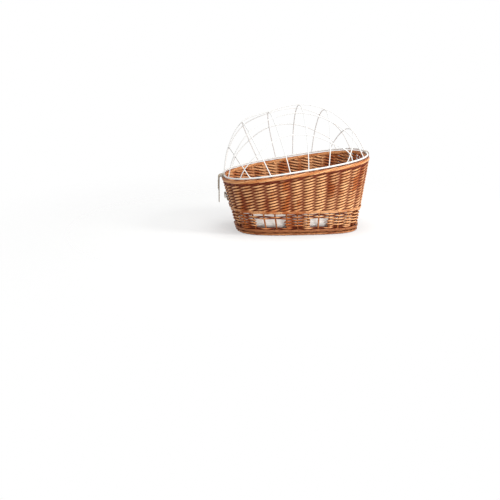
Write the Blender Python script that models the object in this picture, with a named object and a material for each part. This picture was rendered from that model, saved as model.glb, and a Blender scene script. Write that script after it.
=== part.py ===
"""A dog's carrying basket, in metres, +Z up.

It is a woven oval basket whose rim rises towards the rear, with small windows near its floor and a
cushion. A dome of coated wire lies on the rim. Its ring turns in a leather loop at the rear tip, and
a closing strap hangs from its front tip, beside the buckle that takes it.

The front is at -X. The origin is on the ground, under the middle of the whole basket. A turn is a
share of the way round the oval, from the rear tip: 0.25 is at +Y, 0.5 at the front tip.
"""

import math

import bmesh
import bpy
import numpy as np
from mathutils import Matrix, Vector

# Woven basket
rim_length = 0.540
rim_width = 0.384
front_height = 0.197
rear_height = 0.277
base_length = 0.446
base_width = 0.270
base_shift = 0.007
oval_fullness_share = 0.28
base_fullness_share = 0.36
foot_lean_share = 0.004
gap = 0.0003
overrun = 0.030

# Stakes, and the woven wall that bulges round each of them
stake_count = 32
stake_radius = 0.003
stake_clearance = 0.001
wall_thickness = 0.005
weave_depth = 0.005
groove_depth = 0.0012
stroke_groove = 0.0028
stroke_pitch = 0.0106
stroke_start_share = 0.25
column_shares = ((-0.22, 0), (0.22, 0), (0.5, 1))

# Bands of the basket, from the ground up
foot_height = 0.012
foot_lip = 0.012
foot_relief = 0.0015
foot_chamfer = 0.003
wale_height = 0.018
window_height = 0.032
panel_wrap = 0.0045
belt_height = 0.032
belt_swell = 0.0015
border_height = 0.014
border_width = 0.016
border_relief_share = 0.16

# Windows, as gaps between stakes counted from the middle of each long side towards the rear
window_gaps = (-4, -3, -2, 1, 2)

# Floor and cushion
floor_thickness = 0.008
floor_clearance = 0.0006
cross_stick_radius = 0.003
cross_stick_count = 7
cross_stick_pitch = 0.046
long_stick_radius = 0.0025
long_stick_count = 3
long_stick_pitch = 0.030
stick_sink = 0.0009
cushion_thickness = 0.042
cushion_clearance = 0.009
cushion_seam_share = 0.4
cushion_bottom_shares = (0.5, 0.9, 0.98)
cushion_top_shares = (0.985, 0.93, 0.8, 0.6, 0.35, 0.12)

# Wire dome: each hoop's foot and top along the ring's half length, and its rise
ring_radius = 0.003
hoop_radius = 0.0018
arc_radius = 0.0018
dome_rise = 0.2095
hoop_foot_shares = (-0.70, -0.43, -0.17, 0.078, 0.356, 0.612)
hoop_top_shares = (-0.925, -0.735, -0.367, 0.060, 0.417, 0.781)
hoop_rise_shares = (0.427, 0.806, 0.928, 1.0, 0.862, 0.475)

# Places of the two outer arcs and the two inner ones across the ring's half width: the front foot,
# each hoop, the rear foot
outer_arc_shares = (0.72, 0.80, 0.85, 0.785, 0.82, 0.87, 0.865, 0.846)
inner_arc_shares = (0.42, 0.50, 0.52, 0.385, 0.45, 0.545, 0.61, 0.645)

# Leather straps
strap_thickness = 0.002
strap_width = 0.022
strap_slot_width = 0.0066
strap_slot_depth = 0.004
strap_crease = 0.0015
straight_length = 0.006
tail_reach = 0.018
tail_length = 0.095
return_length = 0.049
hinge_drop = 0.078
hinge_return_drop = 0.062
hinge_bend_drop = 0.004
hinge_edge_share = 0.7
hole_radius = 0.0017
hole_count = 4
hole_pitch = 0.009
hole_end = 0.012

# Bends that bring a strap's two layers over the border: along the reach or back from it in layers,
# with the height in radii of the loop
upper_bend_shares = (0.55, 0.8)
upper_edge_shares = (0.8, 0.1)
lower_bend_shares = (0.5, 0.92)
lower_edge_shares = (0.5, 1.15)
lower_end_share = 1.9

# Buckle on the front wall
buckle_depth = 0.062
buckle_width = 0.027
buckle_drop = 0.016
buckle_wire_radius = 0.0015
buckle_corner = 0.003
prong_radius = 0.001
prong_overhang = 0.0015
tab_thickness = 0.0018
tab_width = 0.020
tab_slot_width = 0.0034
tab_slot_depth = 0.006
tab_clearance = 0.0008
tab_length = 0.028
tab_inner_angle = math.radians(163)
tab_outer_angle = math.radians(-30)

# Sizes that follow from these
wall_inside = stake_radius + stake_clearance
wall_reach = wall_inside + wall_thickness
rim_slope = (rear_height - front_height) / rim_length
rim_angle = math.atan(rim_slope)
ring_half_length = rim_length / 2 - border_width / 2
ring_half_width = rim_width / 2 - border_width / 2
base_half_length = base_length / 2 - wall_reach
base_half_width = base_width / 2 - wall_reach
ring_rise = (ring_radius + gap + strap_thickness + gap) / math.cos(rim_angle)
loop_radius = ring_radius + gap + strap_thickness / 2
layer_pitch = strap_thickness + gap
border_side = border_width / 2 + gap + strap_thickness / 2
front_reach = ring_half_length + tail_reach + layer_pitch + strap_thickness / 2
rear_reach = ring_half_length + border_side + layer_pitch + strap_thickness / 2
rim_centre = (front_reach - rear_reach) / 2
wale_bottom = foot_height + gap
wale_top = wale_bottom + wale_height
panel_bottom = wale_top + gap
panel_top = panel_bottom + window_height
belt_bottom = panel_top + gap
belt_top = belt_bottom + belt_height
weave_bottom = belt_top + gap
floor_bottom = foot_height + gap
floor_top = floor_bottom + floor_thickness
cushion_bottom = floor_top + gap

COLLECTION = "dog_basket"


def start_scene():
    """Clears the scene and makes one collection for the parts and one for the cutters."""
    for thing in list(bpy.data.objects):
        bpy.data.objects.remove(thing, do_unlink=True)
    for name in (COLLECTION, "cutters"):
        bpy.context.scene.collection.children.link(bpy.data.collections.new(name))


def make_material(name, colour, roughness, metallic=0.0):
    """A plain Principled material."""
    material = bpy.data.materials.new(name)
    material.use_nodes = True
    shader = material.node_tree.nodes["Principled BSDF"]
    shader.inputs["Base Color"].default_value = (*colour, 1)
    shader.inputs["Roughness"].default_value = roughness
    shader.inputs["Metallic"].default_value = metallic
    material.diffuse_color = (*colour, 1)
    return material


def add_object(name, data, material=None):
    """Puts a mesh or a curve in the parts' collection, or in the cutters' if it has no material."""
    thing = bpy.data.objects.new(name, data)
    if material:
        data.materials.append(material)
        bpy.data.collections[COLLECTION].objects.link(thing)
    else:
        bpy.data.collections["cutters"].objects.link(thing)
        thing.hide_render = True
        thing.display_type = "WIRE"
    return thing


def mesh_object(name, shape, material=None):
    """Turns a bmesh into an object, shaded smooth where its faces meet gently."""
    bmesh.ops.recalc_face_normals(shape, faces=shape.faces)
    mesh = bpy.data.meshes.new(name)
    shape.to_mesh(mesh)
    shape.free()
    mesh.shade_smooth()
    mesh.set_sharp_from_angle(angle=math.radians(40))
    return add_object(name, mesh, material)


def loft(name, sections, material, closed):
    """A solid skinned over like sections, joined into a loop, or capped at both ends."""
    shape = bmesh.new()
    rings = [[shape.verts.new(point) for point in section] for section in sections]
    pairs = list(zip(rings, rings[1:]))
    if closed:
        pairs.append((rings[-1], rings[0]))
    else:
        shape.faces.new(rings[0])
        shape.faces.new(rings[-1])
    for first, second in pairs:
        for here in range(len(first)):
            there = (here + 1) % len(first)
            shape.faces.new((first[here], first[there], second[there], second[here]))
    return mesh_object(name, shape, material)


def wire(name, points, radius, material, closed=False, resolution=1):
    """A round wire along points."""
    curve = bpy.data.curves.new(name, "CURVE")
    curve.dimensions = "3D"
    spline = curve.splines.new("POLY")
    spline.points.add(len(points) - 1)
    for spot, point in zip(spline.points, points):
        spot.co = (*point, 1)
    spline.use_cyclic_u = closed
    spline.use_smooth = True
    curve.bevel_depth = radius
    curve.bevel_resolution = resolution
    curve.use_fill_caps = True
    return add_object(name, curve, material)


def with_creases(path):
    """The path with a point close to each end of its long straight stretches, to keep them flat."""
    full = []
    for start, end in zip(path, path[1:]):
        run = end - start
        full.append(start)
        if run.length > straight_length:
            full +=[start + run.normalized() * strap_crease, end - run.normalized() * strap_crease]
    return full + [path[-1]]


def ribbon(name, path, width, thickness, material):
    """A flat strap that follows a path in the plane y = 0, with its width across Y."""
    path = with_creases(path)
    sections = []
    for index, point in enumerate(path):
        before = path[max(index - 1, 0)]
        after = path[min(index + 1, len(path) - 1)]
        first = (point - before).normalized() if index else (after - point).normalized()
        last = (after - point).normalized() if after != point else first
        along = (first + last).normalized()
        normal = Vector((along.z, 0, -along.x))
        mitre = normal * (thickness / 2) / along.dot(first)
        side = Vector((0, width / 2, 0))
        top = point + mitre
        under = point - mitre
        sections.append([top + side, under + side, under - side, top - side])
    return loft(name, sections, material, closed=False)


def cut(thing, *cutters):
    """Takes the cutters away from an object."""
    for cutter in cutters:
        modifier = thing.modifiers.new(cutter.name, "BOOLEAN")
        modifier.operation = "DIFFERENCE"
        modifier.solver = "EXACT"
        modifier.object = cutter


def add_solids(thing, *others):
    """Joins other solids to an object."""
    for other in others:
        modifier = thing.modifiers.new(other.name, "BOOLEAN")
        modifier.operation = "UNION"
        modifier.solver = "EXACT"
        modifier.object = other


def box_cutter(name, low, high, turn=Matrix()):
    """A box between two corners, moved by a matrix."""
    shape = bmesh.new()
    bmesh.ops.create_cube(shape, size=1)
    size = Vector(high) - Vector(low)
    middle = (Vector(high) + Vector(low)) / 2
    bmesh.ops.scale(shape, vec=size, verts=shape.verts)
    bmesh.ops.translate(shape, vec=middle, verts=shape.verts)
    bmesh.ops.transform(shape, matrix=turn, verts=shape.verts)
    return mesh_object(name, shape)


def rod_solid(name, start, end, radius, segments=8):
    """A straight round rod between two points, to be joined to a part or cut from one."""
    shape = bmesh.new()
    run = end - start
    turn = Matrix.Translation((start + end) / 2) @ run.to_track_quat("Z", "Y").to_matrix().to_4x4()
    bmesh.ops.create_cone(
        shape, cap_ends=True, segments=segments, radius1=radius, radius2=radius, depth=run.length, matrix=turn
    )
    return mesh_object(name, shape)


def hang_on(pieces, name, place):
    """Parents moving pieces to an empty that stands on their joint's axis."""
    axis = bpy.data.objects.new(name, None)
    bpy.data.collections[COLLECTION].objects.link(axis)
    axis.location = place
    for piece in pieces:
        piece.parent = axis
        piece.matrix_parent_inverse = Matrix.Translation(place).inverted()
    return axis


# The oval and the wall


def signed_power(value, power):
    return math.copysign(abs(value) ** power, value)


def oval_shares(angle, fullness=oval_fullness_share):
    """Where an angle lies on a blunt oval, as shares of its half length and half width."""
    power = 1 - fullness
    return signed_power(math.cos(angle), power), signed_power(math.sin(angle), power)


ANGLES = np.linspace(0, 2 * math.pi, 7201)


def way_round(half_length, half_width, fullness):
    """The share of the way round an oval that each of the angles has reached, and the oval's girth."""
    shares = np.array([oval_shares(angle, fullness) for angle in ANGLES])
    steps = np.linalg.norm(np.diff(shares * (half_length, half_width), axis=0), axis=1)
    reached = np.concatenate([[0], np.cumsum(steps)])
    return reached / reached[-1], float(reached[-1])


RIM_REACHED, RIM_GIRTH = way_round(ring_half_length, ring_half_width, oval_fullness_share)
BASE_REACHED, BASE_GIRTH = way_round(base_half_length, base_half_width, base_fullness_share)


def angle_at(turn):
    """The angle on the rim's oval at a turn."""
    return float(np.interp(turn % 1, RIM_REACHED, ANGLES))


def base_angle_at(turn):
    """The angle on the base's oval at a turn: along the sides the stakes' feet stand a little rearward."""
    lean = foot_lean_share * math.sin(2 * math.pi * turn)
    return float(np.interp((turn - lean) % 1, BASE_REACHED, ANGLES))


def outward(angle, half_length=ring_half_length, half_width=ring_half_width, fullness=oval_fullness_share):
    """The level direction that points straight out of an oval."""
    along = signed_power(math.cos(angle), 1 + fullness) / half_length
    across = signed_power(math.sin(angle), 1 + fullness) / half_width
    return Vector((along, across, 0)).normalized()


def rim_height(x):
    """Height of the border's top at a place along the basket."""
    return (front_height + rear_height) / 2 + rim_slope * (x - rim_centre)


def top_height(turn):
    """Height of the border's top straight above the stakes."""
    return rim_height(rim_centre + ring_half_length * oval_shares(angle_at(turn))[0])


def wall_point(turn, height, out=0.0):
    """A point at a height, a distance outside the line of the stakes."""
    high_angle = angle_at(turn)
    along, across = oval_shares(high_angle)
    rim = Vector((rim_centre + ring_half_length * along, ring_half_width * across, 0))
    low_angle = base_angle_at(turn)
    along, across = oval_shares(low_angle, base_fullness_share)
    base = Vector((rim_centre + base_shift + base_half_length * along, base_half_width * across, 0))
    share = height / rim_height(rim.x)
    low_way = outward(low_angle, base_half_length, base_half_width, base_fullness_share)
    way = low_way.lerp(outward(high_angle), share).normalized()
    return base.lerp(rim, share) + way * out + Vector((0, 0, height))


def point_below_rim(turn, drop):
    """A point on the line of the stakes, a drop below the slanting plane of the border's top."""
    base = wall_point(turn, 0)
    return base.lerp(wall_point(turn, top_height(turn)), 1 - drop / rim_height(base.x))


def stake_turn(index):
    return (index + 0.5) / stake_count


def wall_stations():
    """Turns round the wall, with how far it dips there between two stakes."""
    return [
        (stake_turn(stake) + share / stake_count, dip * weave_depth)
        for stake in range(stake_count)
        for share, dip in column_shares
    ]


def panel_stations(first_stake, last_stake):
    """The wall's stations from just before one stake to just past another."""
    wrap = panel_wrap / BASE_GIRTH
    start = stake_turn(first_stake) - wrap
    end = stake_turn(last_stake) + wrap
    plateau = max(share for share, dip in column_shares if not dip) / stake_count
    inner = []
    for lap in (-1, 0, 1):
        for turn, dip in wall_stations():
            if stake_turn(first_stake) + plateau / 2 < turn + lap < stake_turn(last_stake) - plateau / 2:
                inner.append((turn + lap, dip))
    return [(start, 0.0)] + sorted(inner) + [(end, 0.0)]


def woven_section(turn, dip, bottom, top, courses, swell=0.0, groove=groove_depth, lift=0.0):
    """A section of the woven wall: plain inside, one bulge for each course outside.

    A lift raises all but its lower edge.
    """
    inside = wall_inside - dip
    outside = inside + wall_thickness + swell
    spans = math.ceil(courses / 4)
    levels = [bottom + (top + lift - bottom) * (spans - step) / spans for step in range(spans + 1)]
    section = [wall_point(turn, level, inside) for level in levels]
    for step in range(2 * courses + 1):
        height = bottom + (top - bottom) * step / (2 * courses)
        if step:
            height += lift
        section.append(wall_point(turn, height, outside - groove * (1 - step % 2)))
    return section


def woven_band(name, stations, bottom, top, courses, material, closed, swell=0.0):
    sections = [woven_section(turn, dip, bottom, top, courses, swell) for turn, dip in stations]
    return loft(name, sections, material, closed)


# Woven basket


def make_foot_border(willow):
    """The plaited foot ring: flat below, with a lip under the floor's edge."""
    sections = []
    for index, (turn, _) in enumerate(wall_stations()):
        swell = foot_relief * (index % len(column_shares)) / (len(column_shares) - 1)
        outer = wall_reach + swell
        inner = -wall_inside - foot_lip
        sections.append(
            [
                wall_point(turn, 0, inner),
                wall_point(turn, 0, wall_reach - foot_chamfer),
                wall_point(turn, foot_chamfer, outer),
                wall_point(turn, foot_height - foot_chamfer, wall_reach + foot_relief - swell),
                wall_point(turn, foot_height, wall_reach - foot_chamfer),
                wall_point(turn, foot_height, inner),
            ]
        )
    return loft("foot_border", sections, willow, closed=True)


def make_rim_border(willow):
    """The rolled rim border: an oval rope, one twist of its relief for each stake."""
    points = 8
    sections = []
    for turn, _ in wall_stations():
        way = outward(angle_at(turn))
        section = []
        for index in range(points):
            angle = 2 * math.pi * index / points
            wave = 0.5 + 0.5 * math.cos(2 * angle - 2 * math.pi * stake_count * turn)
            size = 1 - border_relief_share * wave * min(1, 1 + math.sin(angle))
            spot = wall_point(turn, top_height(turn)) + way * (size * border_width / 2 * math.cos(angle))
            spot.z = rim_height(spot.x) + border_height / 2 * (size * math.sin(angle) - 1)
            section.append(spot)
        sections.append(section)
    return loft("rim_border", sections, willow, closed=True)


def make_upper_weave(willow):
    """The tall woven wall, cut off along the slanting rim.

    Its strokes climb along each column, lie half a pitch higher on every other one, and fade out in
    the hollows between.
    """
    courses = math.ceil((rear_height - weave_bottom) / stroke_pitch)
    top = weave_bottom + courses * stroke_pitch
    sections = []
    for stake in range(stake_count):
        for share, dip in column_shares:
            turn = stake_turn(stake) + share / stake_count
            climb_share = 0.5 if dip else stroke_start_share + share + 0.5 * (stake % 2)
            groove = 0.0 if dip else stroke_groove
            lift = climb_share * stroke_pitch
            depth = dip * weave_depth
            sections.append(woven_section(turn, depth, weave_bottom, top, courses, 0.0, groove, lift))
    wall = loft("upper_weave", sections, willow, closed=True)
    lowest = (front_height + rear_height) / 2 - border_height - gap
    slant = Matrix.Translation((rim_centre, 0, lowest)) @ Matrix.Rotation(-rim_angle, 4, "Y")
    reach = rim_length / 2 + overrun + base_length
    low = (-reach, -rim_width, 0)
    high = (reach, rim_width, rear_height + overrun)
    cut(wall, box_cutter("rim_slant_cutter", low, high, slant))
    return wall


def make_stakes(willow):
    """Upright rods in the hollows of the wall, from the foot to the underside of the border."""
    stakes = []
    for index in range(stake_count):
        turn = stake_turn(index)
        rim = wall_point(turn, top_height(turn))
        lean = (rim - wall_point(turn, 0)).xy.length / rim.z
        start = wall_point(turn, foot_height + gap + stake_radius * lean)
        end = point_below_rim(turn, border_height + gap + stake_radius * (lean + rim_slope))
        stakes.append(wire(f"stake_{index + 1:02d}", [start, end], stake_radius, willow))
    return stakes


def make_panels(willow):
    """The woven pieces that close the band of windows between its openings."""
    before = min(window_gaps)
    after = max(window_gaps)
    middle = [number for number in range(before, after + 1) if number not in window_gaps]
    quarter = stake_count // 4
    spans = {
        "panel_rear": (3 * quarter + after, 5 * quarter - after - 1),
        "panel_front": (quarter - before, 3 * quarter + before - 1),
        "panel_left": (3 * quarter + min(middle) - 1, 3 * quarter + max(middle)),
        "panel_right": (quarter - max(middle) - 1, quarter - min(middle)),
    }
    for name, (first, last) in spans.items():
        woven_band(name, panel_stations(first, last), panel_bottom, panel_top, 2, willow, closed=False)


def loop_at(height, inset, count, share=1.0, lift=0.0):
    """A level loop inside the wall, drawn in towards the middle of the floor by a share."""
    middle = Vector((rim_centre + base_shift, 0, height))
    points = [wall_point(step / count, height, -inset) for step in range(count)]
    return [middle.lerp(point, share) + Vector((0, 0, lift)) for point in points]


def half_chord(place, half_along, half_across):
    """Half the chord across a blunt oval at a distance from its middle."""
    power = 2 / (1 - oval_fullness_share)
    return half_across * (1 - min(abs(place) / half_along, 1) ** power) ** (1 / power)


def make_floor(willow):
    """The woven floor plate, with its crossing sticks half sunk in its underside."""
    inset = stake_radius + floor_clearance
    loops = [loop_at(height, inset, 64) for height in (floor_bottom, floor_top)]
    floor = loft("floor", loops, willow, closed=False)
    edge = wall_inside + foot_lip + 2 * gap
    half_length = wall_point(0, foot_height, -edge).x - (rim_centre + base_shift)
    half_width = wall_point(0.25, foot_height, -edge).y
    middle = Vector((rim_centre + base_shift, 0, floor_bottom + stick_sink))
    for index in range(cross_stick_count):
        place = (index - (cross_stick_count - 1) / 2) * cross_stick_pitch
        reach = half_chord(abs(place) + cross_stick_radius, half_length, half_width)
        start = middle + Vector((place, -reach, 0))
        end = middle + Vector((place, reach, 0))
        add_solids(floor, rod_solid(f"cross_stick_{index + 1}", start, end, cross_stick_radius))
    for index in range(long_stick_count):
        place = (index - (long_stick_count - 1) / 2) * long_stick_pitch
        reach = half_chord(abs(place) + long_stick_radius, half_width, half_length)
        start = middle + Vector((-reach, place, 0))
        end = middle + Vector((reach, place, 0))
        add_solids(floor, rod_solid(f"long_stick_{index + 1}", start, end, long_stick_radius))
    return floor


def make_cushion(fabric):
    """A flat-bottomed cushion with a crown, drawn in at its seam."""
    inset = stake_radius + cushion_clearance
    seam = cushion_thickness * cushion_seam_share
    crown = cushion_thickness - seam
    loops = []
    for share in cushion_bottom_shares:
        drop = seam * math.sqrt(1 - share**14)
        loops.append(loop_at(cushion_bottom + seam, inset, 48, share, -drop))
    loops.append(loop_at(cushion_bottom + seam, inset, 48))
    for share in cushion_top_shares:
        rise = crown * math.sqrt(1 - share**5)
        loops.append(loop_at(cushion_bottom + seam, inset, 48, share, rise))
    return loft("cushion", loops, fabric, closed=False)


# Wire dome


def ring_point(angle):
    """The middle of the ring's wire."""
    along, across = oval_shares(angle)
    x = rim_centre + ring_half_length * along
    return Vector((x, ring_half_width * across, rim_height(x) + ring_rise))


def ring_direction(angle):
    step = 1e-4
    return (ring_point(angle + step) - ring_point(angle - step)).normalized()


def angle_along(share):
    """The angle on the +Y side that lies at a share of the half length."""
    return math.acos(signed_power(share, 1 / (1 - oval_fullness_share)))


def angle_across(share):
    """The angle at the rear end that lies at a share of the half width."""
    return math.asin(signed_power(share, 1 / (1 - oval_fullness_share)))


def foot_on_ring(angle, towards, radius):
    """The end of a wire that stands on the ring: its cap just clears the ring's surface."""
    centre = ring_point(angle)
    way = (towards - centre).normalized()
    slip = abs(way.dot(ring_direction(angle)))
    lift = (ring_radius + gap + radius * slip) / math.sqrt(1 - slip**2)
    return centre + way * lift


def hoop_point(hoop, sweep):
    """A point on a hoop, as its sweep goes from its foot at -Y, 0, to its foot at +Y, pi."""
    foot_angle = angle_along(hoop_foot_shares[hoop])
    foot = ring_point(foot_angle)
    lean = (hoop_top_shares[hoop] - hoop_foot_shares[hoop]) * ring_half_length
    rise = hoop_rise_shares[hoop] * dome_rise
    up = math.sin(sweep)
    return Vector((foot.x + lean * up, -foot.y * math.cos(sweep), foot.z + rise * up))


def crossing_sweep(hoop, side):
    """Where a hoop passes under the arc that runs at a side share of the ring's half width."""
    half = ring_point(angle_along(hoop_foot_shares[hoop])).y
    return math.acos(-side * ring_half_width / half)


def smooth_path(points, steps):
    """Points on a smooth curve through the given ones."""
    chords = [(after - before).length for before, after in zip(points, points[1:])]
    speeds = [(after - before) / chord for before, after, chord in zip(points, points[1:], chords)]
    slopes = []
    for index in range(1, len(points) - 1):
        first, last = chords[index - 1], chords[index]
        slopes.append((speeds[index - 1] * last + speeds[index] * first) / (first + last))
    slopes = [speeds[0] * 1.5 - slopes[0] * 0.5] + slopes + [speeds[-1] * 1.5 - slopes[-1] * 0.5]
    path = [points[0]]
    for index, chord in enumerate(chords):
        for step in range(1, steps + 1):
            t = step / steps
            path.append(
                points[index] * (2 * t**3 - 3 * t**2 + 1)
                + slopes[index] * chord * (t**3 - 2 * t**2 + t)
                + points[index + 1] * (3 * t**2 - 2 * t**3)
                + slopes[index + 1] * chord * (t**3 - t**2)
            )
    return path


def make_ring(coating):
    """The oval ring that the dome stands on."""
    points = [ring_point(angle_at(step / 64)) for step in range(64)]
    return wire("cage_ring", points, ring_radius, coating, closed=True, resolution=2)


def arc_sides():
    """Each arc's places across the ring, from its front foot over the hoops to its rear foot."""
    outer = np.array(outer_arc_shares)
    inner = np.array(inner_arc_shares)
    return [-outer, -inner, np.zeros(len(inner)), inner, outer]


def make_hoops(coating):
    """Hoops across the basket, from side to side of the ring."""
    hoops = []
    for hoop, foot_share in enumerate(hoop_foot_shares):
        stops = [0.0] + [crossing_sweep(hoop, sides[hoop + 1]) for sides in arc_sides()] + [math.pi]
        sweeps = [0.0]
        for before, after in zip(stops, stops[1:]):
            sweeps += [before + (after - before) * step / 3 for step in (1, 2, 3)]
        points = [hoop_point(hoop, sweep) for sweep in sweeps]
        angle = angle_along(foot_share)
        points[0] = foot_on_ring(-angle, points[1], hoop_radius)
        points[-1] = foot_on_ring(angle, points[-2], hoop_radius)
        hoops.append(wire(f"hoop_{hoop + 1}", points, hoop_radius, coating))
    return hoops


def arc_points(sides):
    """The places that an arc passes: on the ring's front, over each hoop, on the ring's rear."""
    front = math.pi - angle_across(sides[0])
    rear = angle_across(sides[-1])
    sweeps = [crossing_sweep(hoop, side) for hoop, side in enumerate(sides[1:-1])]
    bare = [hoop_point(hoop, sweep) for hoop, sweep in enumerate(sweeps)]
    line = [ring_point(front)] + bare + [ring_point(rear)]
    over = []
    for hoop, spot in enumerate(bare):
        sweep = sweeps[hoop]
        step = 1e-4
        across = hoop_point(hoop, sweep + step) - hoop_point(hoop, sweep - step)
        along = line[hoop + 2] - line[hoop]
        out = along.cross(across).normalized()
        over.append(spot + out * (hoop_radius + arc_radius + gap))
    first = foot_on_ring(front, over[0], arc_radius)
    last = foot_on_ring(rear, over[-1], arc_radius)
    return [first] + over + [last]


def make_arcs(coating):
    """Wires along the basket, over the hoops, from the ring's front to its rear."""
    return [
        wire(f"arc_{index + 1}", smooth_path(arc_points(sides), 4), arc_radius, coating)
        for index, sides in enumerate(arc_sides())
    ]


# Straps and buckle


def tip_point(side, out, rise):
    """A point in the plane y = 0, out from the ring's wire at a tip and above it."""
    tip = ring_point(0 if side > 0 else math.pi)
    return tip + Vector((side * out, 0, rise))


def outer_wall(side, depth, width, off):
    """Where a flat strap lies at a tip: its edges rest on the two sides of the wall's hollow there."""
    turn = 0 if side > 0 else 0.5
    height = top_height(turn) - depth
    plateau = max(share for share, dip in column_shares if not dip)
    hollow = wall_point(turn, height, wall_reach - weave_depth)
    crest = wall_point(turn + (0.5 - plateau) / stake_count, height, wall_reach)
    edge = hollow.lerp(crest, width / 2 / abs(crest.y))
    return Vector((edge.x + side * off, 0, height))


def ring_loop(side, steps=8):
    """The back of a strap's loop round the ring, from above the wire to below it."""
    loop = []
    for step in range(steps + 1):
        angle = math.pi / 2 + math.pi * step / steps
        loop.append(tip_point(side, loop_radius * math.cos(angle), loop_radius * math.sin(angle)))
    return loop


def strap_slot(name, side):
    """The slot that lets the dome's middle wire pass between the two halves of a loop."""
    tip = tip_point(side, 0, 0)
    half = Vector((overrun, strap_slot_width / 2, 0))
    low = tip - half - Vector((0, 0, strap_slot_depth))
    high = tip + half + Vector((0, 0, overrun))
    return box_cutter(name, low, high)


def over_border(side, reach, layer):
    """The bends that bring a layer of strap from the ring over the border's edge."""
    if layer:
        (out, rise), (back, drop) = upper_bend_shares, upper_edge_shares
        return [
            tip_point(side, reach * out, loop_radius * rise),
            tip_point(side, reach - layer_pitch * back, -loop_radius * drop),
            tip_point(side, reach, -loop_radius),
        ]
    (out, drop), (back, end) = lower_bend_shares, lower_edge_shares
    return [
        tip_point(side, reach * out, -loop_radius * drop),
        tip_point(side, reach - layer_pitch * back, -loop_radius * end),
        tip_point(side, reach, -loop_radius * lower_end_share),
    ]


def make_hinge_strap(leather):
    """The rear strap: a doubled loop round the ring, flat against the outer wall."""
    flat = gap + strap_thickness / 2
    below = border_height + hinge_bend_drop
    edge = -ring_rise - border_height * hinge_edge_share
    outer = [outer_wall(1, drop, strap_width, flat + layer_pitch) for drop in (hinge_return_drop, below)]
    outer.append(tip_point(1, border_side + layer_pitch, edge))
    inner = [tip_point(1, border_side, edge)]
    inner += [outer_wall(1, drop, strap_width, flat) for drop in (below, hinge_drop)]
    path = outer + over_border(1, border_side + layer_pitch, 1)[::-1] + ring_loop(1)
    path += over_border(1, border_side, 0) + inner
    strap = ribbon("hinge_strap", path, strap_width, strap_thickness, leather)
    cut(strap, strap_slot("hinge_slot_cutter", 1))
    return strap


def make_closing_strap(leather):
    """The front strap: a loop round the ring, a short sewn return and a long tail with holes."""
    ends = -loop_radius - return_length, -loop_radius - tail_length
    path = [tip_point(-1, tail_reach + layer_pitch, ends[0])]
    path += over_border(-1, tail_reach + layer_pitch, 1)[::-1] + ring_loop(-1)
    path += over_border(-1, tail_reach, 0) + [tip_point(-1, tail_reach, ends[1])]
    strap = ribbon("closing_strap", path, strap_width, strap_thickness, leather)
    cut(strap, strap_slot("closing_slot_cutter", -1))
    for index in range(hole_count):
        height = ends[1] + hole_end + index * hole_pitch
        start = tip_point(-1, tail_reach - strap_thickness, height)
        end = tip_point(-1, tail_reach + strap_thickness, height)
        cut(strap, rod_solid(f"hole_cutter_{index + 1}", start, end, hole_radius))
    return strap


def bar_point(out=0.0, rise=0.0):
    """A point beside the bar that the buckle turns on, out from the wall and above it."""
    seat = gap + tab_thickness + gap + buckle_wire_radius + tab_clearance
    return outer_wall(-1, buckle_depth, tab_width, seat) + Vector((-out, 0, rise))


def make_buckle(nickel):
    """The buckle's frame: a bent wire that hangs by its upper bar in the tab's loop."""
    points = []
    corners = ((1, 0), (-1, 0), (-1, -1), (1, -1))
    for index, (side, low) in enumerate(corners):
        for step in (0, 0.5, 1):
            angle = (index + step) * math.pi / 2
            y = side * (buckle_width / 2 - buckle_corner) + buckle_corner * math.cos(angle)
            z = -buckle_corner if not low else buckle_corner - buckle_drop
            points.append(bar_point() + Vector((0, y, z + buckle_corner * math.sin(angle))))
    return wire("buckle_frame", points, buckle_wire_radius, nickel, closed=True)


def make_prong(nickel):
    """The prong: hooked over the bar, hanging down in front of the frame's lower bar."""
    reach = buckle_wire_radius + gap + prong_radius
    points = []
    for step in range(8):
        angle = math.radians(200) * (7 - step) / 7
        points.append(bar_point(reach * math.cos(angle), reach * math.sin(angle)))
    points.append(bar_point(reach, -buckle_drop - prong_overhang))
    return wire("buckle_prong", points, prong_radius, nickel)


def make_tab(leather):
    """The buckle's leather tab: folded over the bar, with both layers down the outer wall."""
    reach = buckle_wire_radius + gap + tab_thickness / 2
    flat = gap + tab_thickness / 2
    pitch = tab_thickness + gap
    end = buckle_depth + tab_length
    near = buckle_depth + tab_length / 2
    path = [outer_wall(-1, depth, tab_width, flat) for depth in (end, near)]
    for step in range(11):
        angle = tab_inner_angle + (tab_outer_angle - tab_inner_angle) * step / 10
        path.append(bar_point(reach * math.cos(angle), reach * math.sin(angle)))
    path += [outer_wall(-1, depth, tab_width, flat + pitch) for depth in (near, end - tab_thickness)]
    tab = ribbon("buckle_tab", path, tab_width, tab_thickness, leather)
    bar = bar_point()
    half = Vector((overrun, tab_slot_width / 2, 0))
    low = bar - half - Vector((0, 0, tab_slot_depth))
    high = bar + half + Vector((0, 0, overrun))
    cut(tab, box_cutter("tab_slot_cutter", low, high))
    return tab


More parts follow.
